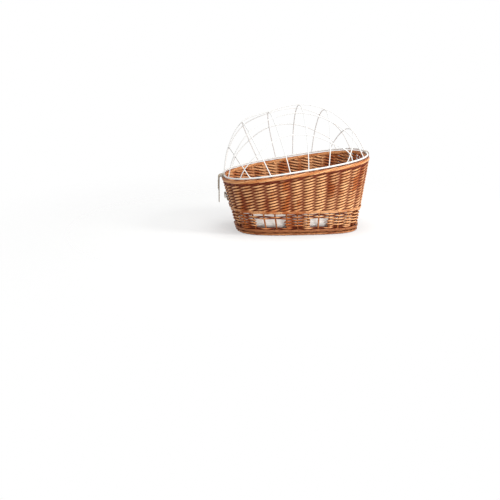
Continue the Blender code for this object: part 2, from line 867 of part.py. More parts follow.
def main():
    start_scene()
    willow = make_material("willow", (0.62, 0.36, 0.18), 0.65)
    coating = make_material("white_coating", (0.86, 0.86, 0.84), 0.35)
    leather = make_material("leather", (0.55, 0.47, 0.38), 0.7)
    nickel = make_material("nickel", (0.78, 0.76, 0.72), 0.25, 1.0)
    fabric = make_material("cushion_cloth", (0.82, 0.80, 0.74), 0.9)

    make_foot_border(willow)
    woven_band("bottom_wale", wall_stations(), wale_bottom, wale_top, 2, willow, closed=True)
    make_panels(willow)
    woven_band("belt_wale", wall_stations(), belt_bottom, belt_top, 2, willow, closed=True, swell=belt_swell)
    make_upper_weave(willow)
    make_rim_border(willow)
    make_stakes(willow)
    make_floor(willow)
    make_cushion(fabric)

    cage = [make_ring(coating)] + make_hoops(coating) + make_arcs(coating)
    hang_on(cage, "cage_axis", tip_point(1, 0, 0))
    make_hinge_strap(leather)
    hang_on([make_closing_strap(leather)], "closing_strap_axis", tip_point(-1, 0, 0))
    make_tab(leather)
    hang_on([make_buckle(nickel)], "buckle_axis", bar_point())
    hang_on([make_prong(nickel)], "prong_axis", bar_point())


main()
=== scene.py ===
# %% [markdown]
# # A dog's carrying basket
# A woven willow basket with a dome of white wire, for the carrier of a bicycle.
# The solid model has its true shape already, but its walls are plain shells. A real basket is made
# of rods, and nearly everything that the eye reads as "wicker" is the shade between them. So this
# lesson weaves the basket again, rod by rod, inside the space that the solid model holds.

# %% Load the solid model
import math

import bmesh
import bpy
import numpy as np
from mathutils import Matrix, Vector


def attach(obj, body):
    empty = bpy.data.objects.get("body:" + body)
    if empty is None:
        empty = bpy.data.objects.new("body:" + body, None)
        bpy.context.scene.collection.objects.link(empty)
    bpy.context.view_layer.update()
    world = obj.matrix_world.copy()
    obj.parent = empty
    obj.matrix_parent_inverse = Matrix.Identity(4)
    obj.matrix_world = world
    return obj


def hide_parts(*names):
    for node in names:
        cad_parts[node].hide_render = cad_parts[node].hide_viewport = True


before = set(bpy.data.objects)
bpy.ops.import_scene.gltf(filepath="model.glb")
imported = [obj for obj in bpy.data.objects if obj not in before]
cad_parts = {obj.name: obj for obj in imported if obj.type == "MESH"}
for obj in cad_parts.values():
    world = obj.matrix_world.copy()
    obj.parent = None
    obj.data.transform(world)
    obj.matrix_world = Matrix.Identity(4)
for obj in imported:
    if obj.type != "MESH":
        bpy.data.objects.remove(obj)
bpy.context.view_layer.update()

# %% [markdown]
# ## The shape that everything follows
# The basket is a blunt oval that widens from its base to its rim, and the rim rises to the rear.
# Every rod is placed by three numbers: its turn round the oval, its height, and how far it stands
# outside the line of the stakes. One function turns these into a point, for whole rods at once.
# The numbers repeat those of the solid model, in metres.

# %% The basket's own sizes
RIM_CENTRE, BASE_SHIFT = 0.00435, 0.007
RING_HALF, BASE_HALF = np.array([0.262, 0.184]), np.array([0.214, 0.126])
FRONT_HEIGHT, REAR_HEIGHT, RIM_LENGTH = 0.197, 0.277, 0.540
RIM_SLOPE = (REAR_HEIGHT - FRONT_HEIGHT) / RIM_LENGTH
RIM_FULLNESS, BASE_FULLNESS = 0.28, 0.36
FOOT_LEAN, WALL_REACH, RING_LIFT = 0.004, 0.009, 0.0056
STAKES = 32
RING_RISE = RING_LIFT / math.cos(math.atan(RIM_SLOPE))
ANGLES = np.linspace(0, 2 * math.pi, 72001)


def unit(vectors):
    return vectors / np.maximum(np.linalg.norm(vectors, axis=-1, keepdims=True), 1e-12)


def signed_power(value, power):
    return np.sign(value) * np.abs(value) ** power


# %% Measure the two ovals
def rim_height(x):
    """The height of the border's top at a place along the basket."""
    return (FRONT_HEIGHT + REAR_HEIGHT) / 2 + RIM_SLOPE * (x - RIM_CENTRE)


def oval(angle, fullness):
    """A blunt oval, as shares of its half length and width. More fullness makes it squarer."""
    circle = np.stack([np.cos(angle), np.sin(angle)], axis=-1)
    return signed_power(circle, 1 - fullness)


def way_round(half, fullness):
    """The share of the way round an oval that each angle has reached, and the oval's girth."""
    steps = np.linalg.norm(np.diff(oval(ANGLES, fullness) * half, axis=0), axis=1)
    reached = np.concatenate([[0], np.cumsum(steps)])
    return reached / reached[-1], reached[-1]


RIM_REACHED, RIM_GIRTH = way_round(RING_HALF, RIM_FULLNESS)
BASE_REACHED, BASE_GIRTH = way_round(BASE_HALF, BASE_FULLNESS)
print("girths:", round(RIM_GIRTH, 3), "m at the rim and", round(BASE_GIRTH, 3), "m at the base")

# %% Find a point on the wall
def outward(angle, half, fullness):
    """The level direction straight out of an oval."""
    return unit(oval(angle, -fullness) / half)


def rim_oval(turn):
    """The ring's level place at each turn, and the direction straight out of it."""
    angle = np.interp(np.mod(turn, 1), RIM_REACHED, ANGLES)
    place = oval(angle, RIM_FULLNESS) * RING_HALF + [RIM_CENTRE, 0]
    return place, outward(angle, RING_HALF, RIM_FULLNESS)


def base_oval(turn):
    """The same at the base, where the stakes' feet stand a little rearward along the sides."""
    shifted = np.mod(turn - FOOT_LEAN * np.sin(2 * math.pi * np.asarray(turn)), 1)
    angle = np.interp(shifted, BASE_REACHED, ANGLES)
    place = oval(angle, BASE_FULLNESS) * BASE_HALF + [RIM_CENTRE + BASE_SHIFT, 0]
    return place, outward(angle, BASE_HALF, BASE_FULLNESS)


def wall(turn, height, out=0.0):
    """Points at a turn and a height, a distance outside the line of the stakes."""
    turn, height, out = (value.astype(float) for value in np.broadcast_arrays(turn, height, out))
    rim, rim_way = rim_oval(turn)
    base, base_way = base_oval(turn)
    share = (height / rim_height(rim[..., 0]))[..., None]
    way = unit(base_way + (rim_way - base_way) * share)
    level = base + (rim - base) * share + way * out[..., None]
    return np.concatenate([level, height[..., None]], axis=-1)


def stake_turn(number):
    """The turn of a stake. Numbers between two whole ones lie in the gap between two stakes."""
    return (np.asarray(number) + 0.5) / STAKES


print("foot of the first stake:", np.round(wall(stake_turn(0), 0), 4).tolist())

# %% [markdown]
# ## Camera
# The basket is seen from its left side, a little from the front and from above, with a long lens.
# These values come from matching the rim, the base and each wire of the dome with the picture, so the
# camera is set by a matrix that holds its three directions, with no aiming constraint.

# %% Set up the camera
AZIMUTH, ELEVATION, ROLL = (math.radians(value) for value in (-6.83, 13.32, 0.22))
AIM = Vector((RIM_CENTRE - 0.0027, 0, 0.15))
DISTANCE, SHIFT_RIGHT, SHIFT_UP = 4.2, 0.162, 0.2286
FOCAL_PIXELS, PICTURE_PIXELS, SENSOR = 1137, 500, 36


def add_object(name, data):
    """An object with some data, in the scene."""
    thing = bpy.data.objects.new(name, data)
    bpy.context.scene.collection.objects.link(thing)
    return thing


level = math.cos(ELEVATION)
back = Vector((math.sin(AZIMUTH) * level, -math.cos(AZIMUTH) * level, math.sin(ELEVATION)))
level_right = Vector((math.cos(AZIMUTH), math.sin(AZIMUTH), 0))
level_up = back.cross(level_right)
right = level_right * math.cos(ROLL) + level_up * math.sin(ROLL)
up = level_up * math.cos(ROLL) - level_right * math.sin(ROLL)
place = AIM - right * SHIFT_RIGHT - up * SHIFT_UP + back * DISTANCE

camera = add_object("camera", bpy.data.cameras.new("camera"))
bpy.context.scene.camera = camera
bpy.context.scene.view_settings.view_transform = "Standard"
camera.data.sensor_width = SENSOR
camera.data.lens = FOCAL_PIXELS / PICTURE_PIXELS * SENSOR
camera.data.clip_start = 0.01
camera.matrix_world = Matrix.Translation(place) @ Matrix((right, up, back)).transposed().to_4x4()
print("camera at", [round(value, 3) for value in place], "lens", round(camera.data.lens, 1), "mm")

# %% [markdown]
# ## Shader maths as expressions
# A finish is a small calculation: some noise, stretched along the rod, times a tint. Written as nodes
# it sprawls. So one class wraps a socket, and + - * / on it add the nodes. Values go through Math
# nodes, vectors through Vector Math and colours through Mix, because a Math node turns a colour grey.

# %% The wrapped socket
def operator(operation, swapped=False):
    """One operator of Wire, as a method. The swapped form serves a plain number on the left."""
    return lambda wire, other: wire.sum_with(other, operation, swapped)


class Wire:
    """One socket of a finish. Sums with it make nodes; plain numbers stay numbers."""

    def __init__(self, finish, socket):
        self.finish = finish
        self.socket = socket

    def sum_with(self, other, operation, swapped):
        pair = (other, self) if swapped else (self, other)
        kinds = {value.socket.type for value in pair if isinstance(value, Wire)}
        if "RGBA" in kinds:
            first, second = (self.finish.as_colour(value) for value in pair)
            settings = {"data_type": "RGBA", "blend_type": operation, "clamp_factor": False}
            return self.finish.node("Mix", settings, {0: 1.0, 6: first, 7: second}, out=2)
        kind = "VectorMath" if "VECTOR" in kinds else "Math"
        if kind == "VectorMath":
            pair = [self.finish.as_vector(value) for value in pair]
        return self.finish.node(kind, {"operation": operation}, {0: pair[0], 1: pair[1]})

    __add__, __radd__ = operator("ADD"), operator("ADD", swapped=True)
    __sub__, __rsub__ = operator("SUBTRACT"), operator("SUBTRACT", swapped=True)
    __mul__, __rmul__ = operator("MULTIPLY"), operator("MULTIPLY", swapped=True)

    def __abs__(self):
        return self.finish.node("Math", {"operation": "ABSOLUTE"}, {0: self})

    def between(self, low, high):
        """0 below low, 1 above high, and a smooth step between them."""
        sockets = {"Value": self, "From Min": low, "From Max": high}
        return self.finish.node("MapRange", {"interpolation_type": "SMOOTHSTEP"}, sockets)


# %% A finish
class Finish:
    """A material with one Principled shader, whose sockets are set by name."""

    def __init__(self, name, **settings):
        self.material = bpy.data.materials.new(name)
        self.material.use_nodes = True
        self.tree = self.material.node_tree
        self.shader = self.tree.nodes["Principled BSDF"]
        for key, value in settings.items():
            self.set(key.replace("_", " "), value)

    def node(self, kind, settings, sockets, out=0):
        """Adds a node. Its settings are set first, such as an operation, then its sockets."""
        node = self.tree.nodes.new("ShaderNode" + kind)
        for key, value in settings.items():
            setattr(node, key, value)
        for key, value in sockets.items():
            self.feed(node.inputs[key], value)
        return Wire(self, node.outputs[out])

    def feed(self, socket, value):
        if isinstance(value, Wire):
            self.tree.links.new(value.socket, socket)
        else:
            socket.default_value = value

    def as_colour(self, value):
        """A colour with its alpha, from a colour or from one number for its three parts."""
        if isinstance(value, Wire):
            return value
        return (*value, 1) if hasattr(value, "__len__") else (value, value, value, 1)

    def as_vector(self, value):
        return value if isinstance(value, Wire) or hasattr(value, "__len__") else (value,) * 3

    def set(self, name, value):
        self.feed(self.shader.inputs[name], self.as_colour(value) if name == "Base Color" else value)

    def place(self):
        """Where a point lies, in the object's own coordinates."""
        return self.node("TexCoord", {}, {}, out="Object")

    def axis(self, vector, letter):
        return self.node("SeparateXYZ", {}, {"Vector": vector}, out=letter)

    def noise(self, vector, detail=2.0, roughness=0.5):
        sockets = {"Vector": vector, "Scale": 1.0, "Detail": detail, "Roughness": roughness}
        return self.node("TexNoise", {}, sockets)

    def blend(self, factor, first, second):
        """From the first colour to the second, as the factor goes from 0 to 1."""
        first, second = self.as_colour(first), self.as_colour(second)
        return self.node("Mix", {"data_type": "RGBA"}, {0: factor, 6: first, 7: second}, out=2)

    def vary(self, colour, roughness, height, depth):
        """Sets what varies over the surface. The relief is a height from 0 to 1, times a depth."""
        self.set("Base Color", colour)
        self.set("Roughness", roughness)
        bump = {"Height": height, "Distance": depth, "Strength": 1.0}
        self.set("Normal", self.node("Bump", {}, bump))
        return self


def darker(colour, share):
    return tuple(value * share for value in colour)


# %% [markdown]
# ## A rod
# A rod could be a curve with a bevel, but a wall takes hundreds of them, and each needs its own tone
# and a grain that runs along it. So a rod is a tube of rings along a line, written straight into a
# mesh, and many rods share one mesh. Three attributes go with each point: `grain` holds the way along
# the rod and the direction round it, `tone` a number of the rod's own, for its colour, and `shade` how
# much painted shade it takes, for the shadow in the hollows of the weave. A rod is left clean on its
# outer side where it stands to the front, and is painted dark where it dives behind a stake, where
# shade falls. Seen from inside it is the other way round, and weaker.

# %% Rings round a line
def tube(line, radius, sides, closed, hint, tall):
    """Rings of points round a line, with the grain's coordinates for each point."""
    radius = np.broadcast_to(np.asarray(radius, float), len(line))
    forward = np.roll(line, -1, 0) - np.roll(line, 1, 0) if closed else np.gradient(line, axis=0)
    across = unit(np.cross(unit(forward), hint))
    lift = np.cross(across, unit(forward))
    angle = 2 * math.pi * np.arange(sides) / sides
    spokes = across[:, None] * np.cos(angle)[:, None] + lift[:, None] * tall * np.sin(angle)[:, None]
    points = line[:, None] + spokes * radius[:, None, None]
    length = np.concatenate([[0], np.cumsum(np.linalg.norm(np.diff(line, axis=0), axis=1))])
    grain = np.stack(np.broadcast_arrays(length[:, None], np.cos(angle), np.sin(angle)), axis=-1)
    return points.reshape(-1, 3), grain.reshape(-1, 3)


def tube_faces(rings, sides, closed, start):
    """The quads of a tube, and its two end faces if it is open."""
    row = np.arange(rings if closed else rings - 1)[:, None]
    column = np.arange(sides)
    here, there = row * sides, (row + 1) % rings * sides
    after = (column + 1) % sides
    quads = np.stack([here + column, here + after, there + after, there + column], axis=-1)
    faces = (quads.reshape(-1, 4) + start).tolist()
    if not closed:
        faces.append((start + column[::-1]).tolist())
        faces.append((start + (rings - 1) * sides + column).tolist())
    return faces


# %% Many rods in one piece
UPWARD = (0, 0, 1)
SHADE_MIDDLE, SHADE_SWING = 0.95, 1.20


def new_piece(name, points, faces, finish, body):
    """A smooth-shaded mesh piece that rides on a body of the solid model."""
    mesh = bpy.data.meshes.new(name)
    mesh.from_pydata(points.tolist(), [], faces)
    mesh.shade_smooth()
    mesh.set_sharp_from_angle(angle=math.radians(50))
    mesh.materials.append(finish.material)
    piece = add_object(name, mesh)
    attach(piece, body)
    return piece


def in_shade(front, sides):
    """The painted shade of each point of a rod. front is 1 where the rod is in front, -1 where behind."""
    facing = np.clip(2.5 * np.cos(2 * math.pi * np.arange(sides) / sides), -1, 1)
    deep = np.clip(SHADE_MIDDLE - SHADE_SWING * front[:, None] * facing, 0, 1)
    # The sides of the rods that face inward take the same painted shade, but weaker.
    return (deep * (0.60 + 0.40 * facing)).ravel()


def rods(
    name, lines, finish, body="basket", slot="willow", sides=8, closed=False, hint=UPWARD, seed=1, tall=1
):
    """One piece of many rods. Each has a line, a radius and, if wanted, how far to the front it is, for
    its painted shade.
    """
    chance = np.random.default_rng(seed)
    points, faces, grains, tones, shades, start = [], [], [], [], [], 0
    for line, radius, *front in lines:
        spots, grain = tube(line, radius, sides, closed, hint, tall)
        faces += tube_faces(len(line), sides, closed, start)
        points.append(spots)
        grains.append(grain)
        tones.append(np.full(len(spots), chance.random()))
        shades.append(in_shade(front[0], sides) if front else np.zeros(len(spots)))
        start += len(spots)
    piece = new_piece(name, np.concatenate(points), faces, finish, body)
    grain = piece.data.attributes.new("grain", "FLOAT_VECTOR", "POINT")
    grain.data.foreach_set("vector", np.concatenate(grains).astype(np.float32).ravel())
    for key, values in (("tone", tones), ("shade", shades)):
        layer = piece.data.attributes.new(key, "FLOAT", "POINT")
        layer.data.foreach_set("value", np.concatenate(values).astype(np.float32))
    print(f"{name}: {len(lines)} rods, {len(faces)} faces")
    return piece


def wander(along, size, chance, waves=3):
    """A slow unevenness along a rod, as grown wood has."""
    total = np.zeros(len(along))
    for _ in range(waves):
        total += np.sin(along * chance.uniform(0.5, 2.6) + chance.uniform(0, 2 * math.pi))
    return total * size / waves


# %% [markdown]
# ## Willow
# Boiled and peeled willow is a warm honey brown under a thin varnish. Each rod has its own tone, fine
# streaks run along it, it darkens slowly here and there, and small bud scars cross it. Noise in the
# grain's coordinates, squeezed along the rod, gives all of these, on any rod, whichever way it bends.
# On top of this goes painted shade in deep brown: on the sides of each rod that face its neighbours,
# and where the rod lies in a hollow of the weave.

# %% Mix the willow finishes
PAINTED_SHADE_BROWN = (0.15, 0.021, 0.003)
STREAK_SCALE, PATCH_SCALE, STAIN_SCALE = (38.0, 2.4, 2.4), (16.0, 0.5, 0.5), (17.0, 17.0, 2.2)
SCARS_PER_METRE = 17.0


def willow(name, dark, light, varnish=0.12, seam_shade=0.8, stained=0.0):
    """From dark to light by streaks and patches, with painted shade in deep brown between the rods and in
    hollows.
    """
    finish = Finish(name, Coat_Weight=varnish, Coat_Roughness=0.3, Specular_IOR_Level=0.22)
    tone, hollow, grain = (
        finish.node("Attribute", {"attribute_name": key}, {}, out=out)
        for key, out in (("tone", "Fac"), ("shade", "Fac"), ("grain", "Vector"))
    )
    shifts = {"X": tone * 31.0, "Y": tone * 7.0, "Z": tone * 13.0}
    shifted = grain + finish.node("CombineXYZ", {}, shifts)
    streak = finish.noise(shifted * STREAK_SCALE, detail=3.0, roughness=0.6)
    patch = finish.noise(shifted * PATCH_SCALE)
    scar_sockets = {"W": finish.axis(shifted, "X"), "Scale": SCARS_PER_METRE}
    scar = finish.node("TexVoronoi", {"voronoi_dimensions": "1D"}, scar_sockets, out="Distance")
    scar = 1 - scar.between(0.012, 0.05)
    # Painted shade: the sides of a rod that face its neighbours, above and below it, are darkened.
    between = abs(finish.axis(grain, "Z")).between(0.30, 0.92)
    stain = finish.noise(finish.place() * STAIN_SCALE, roughness=0.6).between(0.34, 0.62)
    mixed = tone * 0.50 + patch * 0.50 + streak * 0.30 + stain * stained
    colour = finish.blend((mixed - 0.16 - 0.5 * stained).between(0.0, 1.0), dark, light)
    colour = finish.blend(scar * 0.5, colour, darker(dark, 0.45))
    colour = finish.blend(between * seam_shade, colour, PAINTED_SHADE_BROWN)
    # Painted shade where the rod lies in a hollow of the weave, read from the rod's shade attribute.
    colour = finish.blend(hollow, colour, PAINTED_SHADE_BROWN)
    roughness = 0.42 + streak * 0.26 + hollow * 0.15
    return finish.vary(colour, roughness, streak * 0.6 + scar * 0.7, 0.00035)


wall_willow = willow("wall_willow", (0.46, 0.122, 0.022), (0.94, 0.495, 0.225), seam_shade=0.95, stained=0.95)
border_willow = willow("border_willow", (0.58, 0.19, 0.045), (0.96, 0.52, 0.23), varnish=0.2)
# The foot and the stakes take darker copies of the same willow. This is painted shade: the foot is
# darkened against the light that the floor throws up, and the stakes stand in the shade behind the weave.
shaded_foot_willow = willow("shaded_foot_willow", (0.24, 0.06, 0.012), (0.60, 0.26, 0.10), seam_shade=0.95)
shaded_stake_willow = willow("shaded_stake_willow", (0.20, 0.048, 0.01), (0.52, 0.19, 0.055), seam_shade=0.2)
willows = (wall_willow, border_willow, shaded_foot_willow, shaded_stake_willow)
print("willow:", *(kind.material.name for kind in willows))

# %% [markdown]
# ## Stakes
# Thirty-two upright rods carry the weave. They are set in the foot border and end inside the rim
# border. In the windows they stand bare, so they get their own mesh, round and a little tapered,
# and each leans and bends a little differently.

# %% Set up the stakes
STAKE_FOOT, UNDER_BORDER, STAKE_PLACES = 0.006, 0.014, 16
STAKE_RADII = np.linspace(0.0031, 0.0027, STAKE_PLACES)

chance = np.random.default_rng(3)
stake_lines = []
for turn in stake_turn(np.arange(STAKES)):
    top = rim_height(rim_oval(turn)[0][0]) - UNDER_BORDER
    heights = np.linspace(STAKE_FOOT, top, STAKE_PLACES)
    bend = wander(heights * 30, 0.0004, chance)
    line = wall(turn + bend / RIM_GIRTH, heights, wander(heights * 30, 0.0003, chance))
    stake_lines.append((line, STAKE_RADII))
stakes = rods("willow_stakes", stake_lines, shaded_stake_willow, hint=(1, 0.2, 0), sides=10, seed=5)
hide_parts(*[f"stake_{number + 1:02d}" for number in range(STAKES)])

# %% [markdown]
# ## Upper weave
# The wall is a plain weave whose rods all climb round the basket side by side. Each passes in front
# of one stake and behind the next. From outside it shows as upright columns of short strokes that
# slant up to the right, one column to a stake, and the strokes of a column fill the gaps between
# its neighbours'. Sixty-four rods start over the belt, two to a stake. A cosine gives the in and
# out, and the height rises a little faster in front of a stake than behind it. Hand work is uneven,
# so the painted shade of each column is scaled by a random share of its own, and some come out darker.

# %% Weave the upper wall
ROW, CLIMB, WEAVE_BOTTOM = 0.0053, 0.0106, 0.09255
SWING, SWING_BEHIND = 0.0054, 0.0042
BORDER_START, FULL_SHADE, SHADE_FADE = 0.0100, 0.0235, 0.007
COLUMN_FRONT = np.random.default_rng(13).uniform(0.60, 1.0, STAKES)


def in_and_out(phase):
    """How far out a rod stands: in front of the stake at phase 0, behind the next at pi."""
    wave = np.cos(phase)
    return np.where(wave > 0, SWING, SWING_BEHIND) * wave


def climbing_rod(number, chance):
    """One rod of the upper weave, from over the belt up into the rim border."""
    start = number * ROW / CLIMB
    steps = np.arange(start - 0.3, start + 24, 0.125)
    phase = math.pi * (steps - number)
    climb = WEAVE_BOTTOM + CLIMB * (steps - start) + 0.1 * ROW * np.sin(phase)
    height = climb + wander(steps, 0.0003, chance)
    line = wall(stake_turn(steps), height, in_and_out(phase) + wander(steps, 0.0003, chance))
    left = rim_height(line[:, 0]) - line[:, 2]
    last = int(np.argmax(left < BORDER_START))
    # front only sets the painted shade: dark where the rod dives behind a stake, darker in some columns,
    # and darker still just under the rim border, in the border's shade.
    front = np.cos(phase) * COLUMN_FRONT[np.round(steps).astype(int) % STAKES]
    front -= np.clip((FULL_SHADE - left) / SHADE_FADE, 0, 1)
    return line[:last], np.linspace(0.0033, 0.0029, len(steps))[:last], front[:last]


chance = np.random.default_rng(11)
climbing = [climbing_rod(number, chance) for number in range(round(STAKES * CLIMB / ROW))]
upper = rods("upper_wall_weave", climbing, wall_willow, seed=12, tall=1.26)
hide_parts("upper_weave")

# %% [markdown]
# ## Waling
# Over and under the windows run bands of waling, which lock the stakes in place. Four rods work
# together: each passes in front of three stakes and behind the fourth, and the next one starts a
# stake later, so the band looks like a rope laid round the basket. Two cosines of different length
# give a way in and out that matches the stakes, and a sine lifts each stroke from low to high.

# %% Lay the waling
WALE_OUT, WALE_SWING, WALE_FLATTEN = 0.0034, 0.0066, 0.0026
BELT_HEIGHT, BOTTOM_WALE_HEIGHT, SINGLE_ROW_HEIGHT = 0.0889, 0.0182, 0.0273


def waling(name, finish, middle, lift, radius, seed):
    """A band of four rods. Each starts a stake after the one before."""
    steps = np.arange(0, STAKES, 0.125)
    lines = []
    for first in range(4):
        phase = math.pi / 2 * (steps - first)
        out = WALE_OUT - WALE_SWING * np.cos(phase) - WALE_FLATTEN * np.cos(2 * phase)
        height = middle - lift * np.sin(phase) + 0.0002 * np.sin(steps * math.pi / 8 + first)
        thick = 1 + 0.05 * np.sin(steps * math.pi / 16 + chance.uniform(0, 6))
        # The third value sets the painted shade: the further back the rod lies, the darker it is painted.
        lines.append((wall(stake_turn(steps), height, out), radius * thick, 0.12 + out / 0.014))
    return rods(name, lines, finish, closed=True, seed=seed)


def row_rod(steps, height, parity, radius, uneven=0.0):
    """A level row, in front of the stakes whose number has the parity, and behind the others."""
    phase = math.pi * (steps - parity)
    # cos(phase) sets the painted shade, dark where the row dives behind a stake.
    return wall(stake_turn(steps), height, in_and_out(phase) + uneven), radius, np.cos(phase)


chance = np.random.default_rng(21)
belt = waling("belt_waling", wall_willow, BELT_HEIGHT, 0.0036, 0.0028, seed=22)
foot_wale = waling("bottom_waling", shaded_foot_willow, BOTTOM_WALE_HEIGHT, 0.0033, 0.0026, seed=24)
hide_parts("bottom_wale")
all_round = np.arange(0, STAKES, 0.1)
single = row_rod(all_round, SINGLE_ROW_HEIGHT, 0, 0.0027)
rods("row_over_bottom_waling", [single], wall_willow, closed=True, seed=26)

# %% [markdown]
# ## Plain rows and panels
# Between the windows and the belt run a few plain rows. A row goes in front of one stake, behind the
# next, and the row above does the opposite. The panels between the windows are the same weave, but
# there each rod turns back round the last stake, which makes the window's neat edge. A turn back is
# a half circle round that stake, seen from above.

# %% Weave the rows over the windows
ROW_HEIGHTS, BROKEN_HEIGHT, ROW_RADIUS = (0.0661, 0.0716), 0.0775, 0.0028
SLITS = ((12, 19), (22, 9 + STAKES))

slow_wave = 0.0003 * np.sin(all_round * math.pi / 4)
heights = enumerate(ROW_HEIGHTS)
rows = [row_rod(all_round, height + slow_wave, number, ROW_RADIUS) for number, height in heights]
rods("rows_over_windows", rows, wall_willow, closed=True, seed=33)

chance = np.random.default_rng(31)
short = []
for low, high in SLITS:
    steps = np.arange(low + 0.06, high - 0.06 + 0.01, 0.1)
    uneven = wander(steps, 0.0002, chance)
    short.append(row_rod(steps, BROKEN_HEIGHT + wander(steps, 0.0003, chance), 0, ROW_RADIUS, uneven))
rods("broken_row_under_belt", short, wall_willow, seed=34)
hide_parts("belt_wale")


# %% Weave the panels between the windows
PANEL_BOTTOM, PANEL_ROWS, PANEL_RADIUS = 0.0333, 6, 0.0027
TURN_REACH = 0.0059 * STAKES / BASE_GIRTH


def panel_rod(low, high):
    """One long rod that goes to and fro between two end stakes, a row higher each time."""
    rise = np.linspace(0, 1, 9)[1:-1]
    bend = np.linspace(0, math.pi, 9)[1:-1]
    parts = []
    for row in range(PANEL_ROWS):
        way = -1 if row % 2 else 1
        steps = np.arange(low, high + 0.01, 0.1)[::way]
        out = SWING * np.cos(math.pi * (steps - low - row))
        parts.append((steps, out, np.full(len(steps), PANEL_BOTTOM + row * ROW)))
        if row < PANEL_ROWS - 1:
            turned = math.copysign(SWING, out[-1]) * np.cos(bend)
            end = steps[-1] + way * TURN_REACH * np.sin(bend)
            parts.append((end, turned, PANEL_BOTTOM + (row + rise) * ROW))
    places, outs, heights = np.concatenate(parts, axis=1)
    line = wall(stake_turn(places), heights + wander(places, 0.0002, chance), outs)
    # The last value sets the painted shade, dark where the rod lies behind a stake, with its sign turned
    # on the rows that run back.
    return line, PANEL_RADIUS, outs / SWING * np.sign(np.gradient(places))


chance = np.random.default_rng(41)
for side, low, high in (("front", 12, 19), ("rear", 26, 37), ("left", 22, 24), ("right", 7, 9)):
    panel = rods(f"{side}_window_panel", [panel_rod(low, high)], wall_willow, seed=low)
    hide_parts(f"panel_{side}")

# %% [markdown]
# ## Borders
# At the foot and at the rim the stakes' ends are turned down and laid round the edge in a roll. From
# outside such a border is a rope: a few thick strands that pass slowly over the top and under the
# edge. So each strand follows a flattened helix round the oval, and a plain core fills the middle.

# %% Roll the borders
FOOT_MIDDLE, FOOT_INSET, RIM_SINK = 0.0058, 0.0028, 0.0071


def border_strands(count, turns, centre, half, radius):
    """Strands that wind round the edge. centre gives the roll's middle line and the way out."""
    turn = np.arange(0, 1, 1 / 1280)
    strands = []
    for strand in range(count):
        angle = 2 * math.pi * (turns * turn + strand / count)
        spot, way = centre(turn)
        spot[:, :2] += way * (half[0] * np.cos(angle))[:, None]
        spot[:, 2] += half[1] * np.sin(angle)
        thick = 1 + 0.05 * np.sin(2 * math.pi * turn * 5 + chance.uniform(0, 6))
        strands.append((spot, radius * thick))
    return strands


def foot_middle(turn):
    return wall(turn, FOOT_MIDDLE, -FOOT_INSET), base_oval(turn)[1]


def rim_middle(turn):
    level, way = rim_oval(turn)
    return np.concatenate([level, rim_height(level[:, :1]) - RIM_SINK], axis=1), way


chance = np.random.default_rng(51)
foot_strands = border_strands(6, 9, foot_middle, (0.0098, 0.0028), 0.0029)
foot_border = rods("foot_border_plait", foot_strands, shaded_foot_willow, closed=True, sides=10, seed=52)
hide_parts("foot_border")

rim_strands = border_strands(5, 8, rim_middle, (0.0046, 0.0038), 0.0031)
coarse = np.arange(0, 1, 1 / 320)
rim_strands.append((rim_middle(coarse)[0], 0.0040))
rim_border = rods("rim_border_roll", rim_strands, border_willow, closed=True, sides=12, seed=53)
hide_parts("rim_border")

# %% [markdown]
# ## Floor
# The floor is woven flat on crossing sticks and rests on the inner lip of the foot border. It shows
# from below, and in the narrow slit round the cushion. Rods run the long way, over one stick and
# under the next, and a few rings fill its edge.

# %% Weave the floor
FLOOR_MIDDLE, FLOOR_SWING = 0.0132, 0.0047
STICK_PITCH, FLOOR_PITCH = 0.046, 0.0042
EDGE_HEIGHT, EDGE_INSET, EDGE_GAP = 0.012, 0.0168, 0.001

centre_x = RIM_CENTRE + BASE_SHIFT
edge = wall(np.linspace(0, 1, 721), EDGE_HEIGHT, -EDGE_INSET)[:, :2]


def half_span(place, axis):
    """How far the opening reaches each way from its middle, on the line at a place along an axis."""
    near = edge[np.abs(edge[:, axis] - place) < 0.002]
    reach = np.abs(near[:, 1 - axis] - (centre_x if axis == 1 else 0)).max()
    return float(reach) - EDGE_GAP


sticks = []
for x in centre_x + np.arange(-3, 4) * STICK_PITCH:
    reach = half_span(x, 0)
    y = np.linspace(-reach, reach, 12)
    sticks.append((np.stack([np.full(12, x), y, np.full(12, FLOOR_MIDDLE)], axis=1), 0.003))
rods("floor_sticks", sticks, shaded_stake_willow, seed=61)

floor_rods = []
for number in range(-27, 28):
    y = number * FLOOR_PITCH
    if abs(y) > np.abs(edge[:, 1]).max() - 0.003:
        continue
    reach = half_span(y, 1)
    x = np.arange(-reach, reach, 0.004)
    wave = np.cos(math.pi * (x / STICK_PITCH + number % 2)) * FLOOR_SWING
    line = np.stack([centre_x + x, np.full(len(x), y), FLOOR_MIDDLE + wave], axis=1)
    floor_rods.append((line, 0.002))
floor_weave = rods("floor_weave", floor_rods, wall_willow, sides=6, seed=62)
ripple = 0.0152 + 0.0008 * np.sin(coarse * 64 * math.pi)
rings = [(wall(coarse, ripple, -inset), 0.0026) for inset in (0.0075, 0.0125, 0.0175)]
rods("floor_edge_rings", rings, wall_willow, closed=True, seed=63)
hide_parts("floor")

# %% [markdown]
# ## Cushion
# The cushion has a plain off-white cotton cover, sewn from a top and a bottom with a piped seam. It
# fills the floor, with a crown and sides that draw in at the seam. The form starts as rings of the
# basket's own oval. Then it is remeshed evenly and Blender's cloth blows it up a little, which
# gives the soft, slightly puckered look that no formula gives. Last comes the piping.

# %% Cut the cushion
CUSHION_BOTTOM, CUSHION_HEIGHT = 0.0206, 0.042
CUSHION_SEAM = CUSHION_BOTTOM + CUSHION_HEIGHT * 0.42
CUSHION_STEPS, OUTLINE_HEIGHT, CUSHION_INSET = 96, 0.037, 0.0122


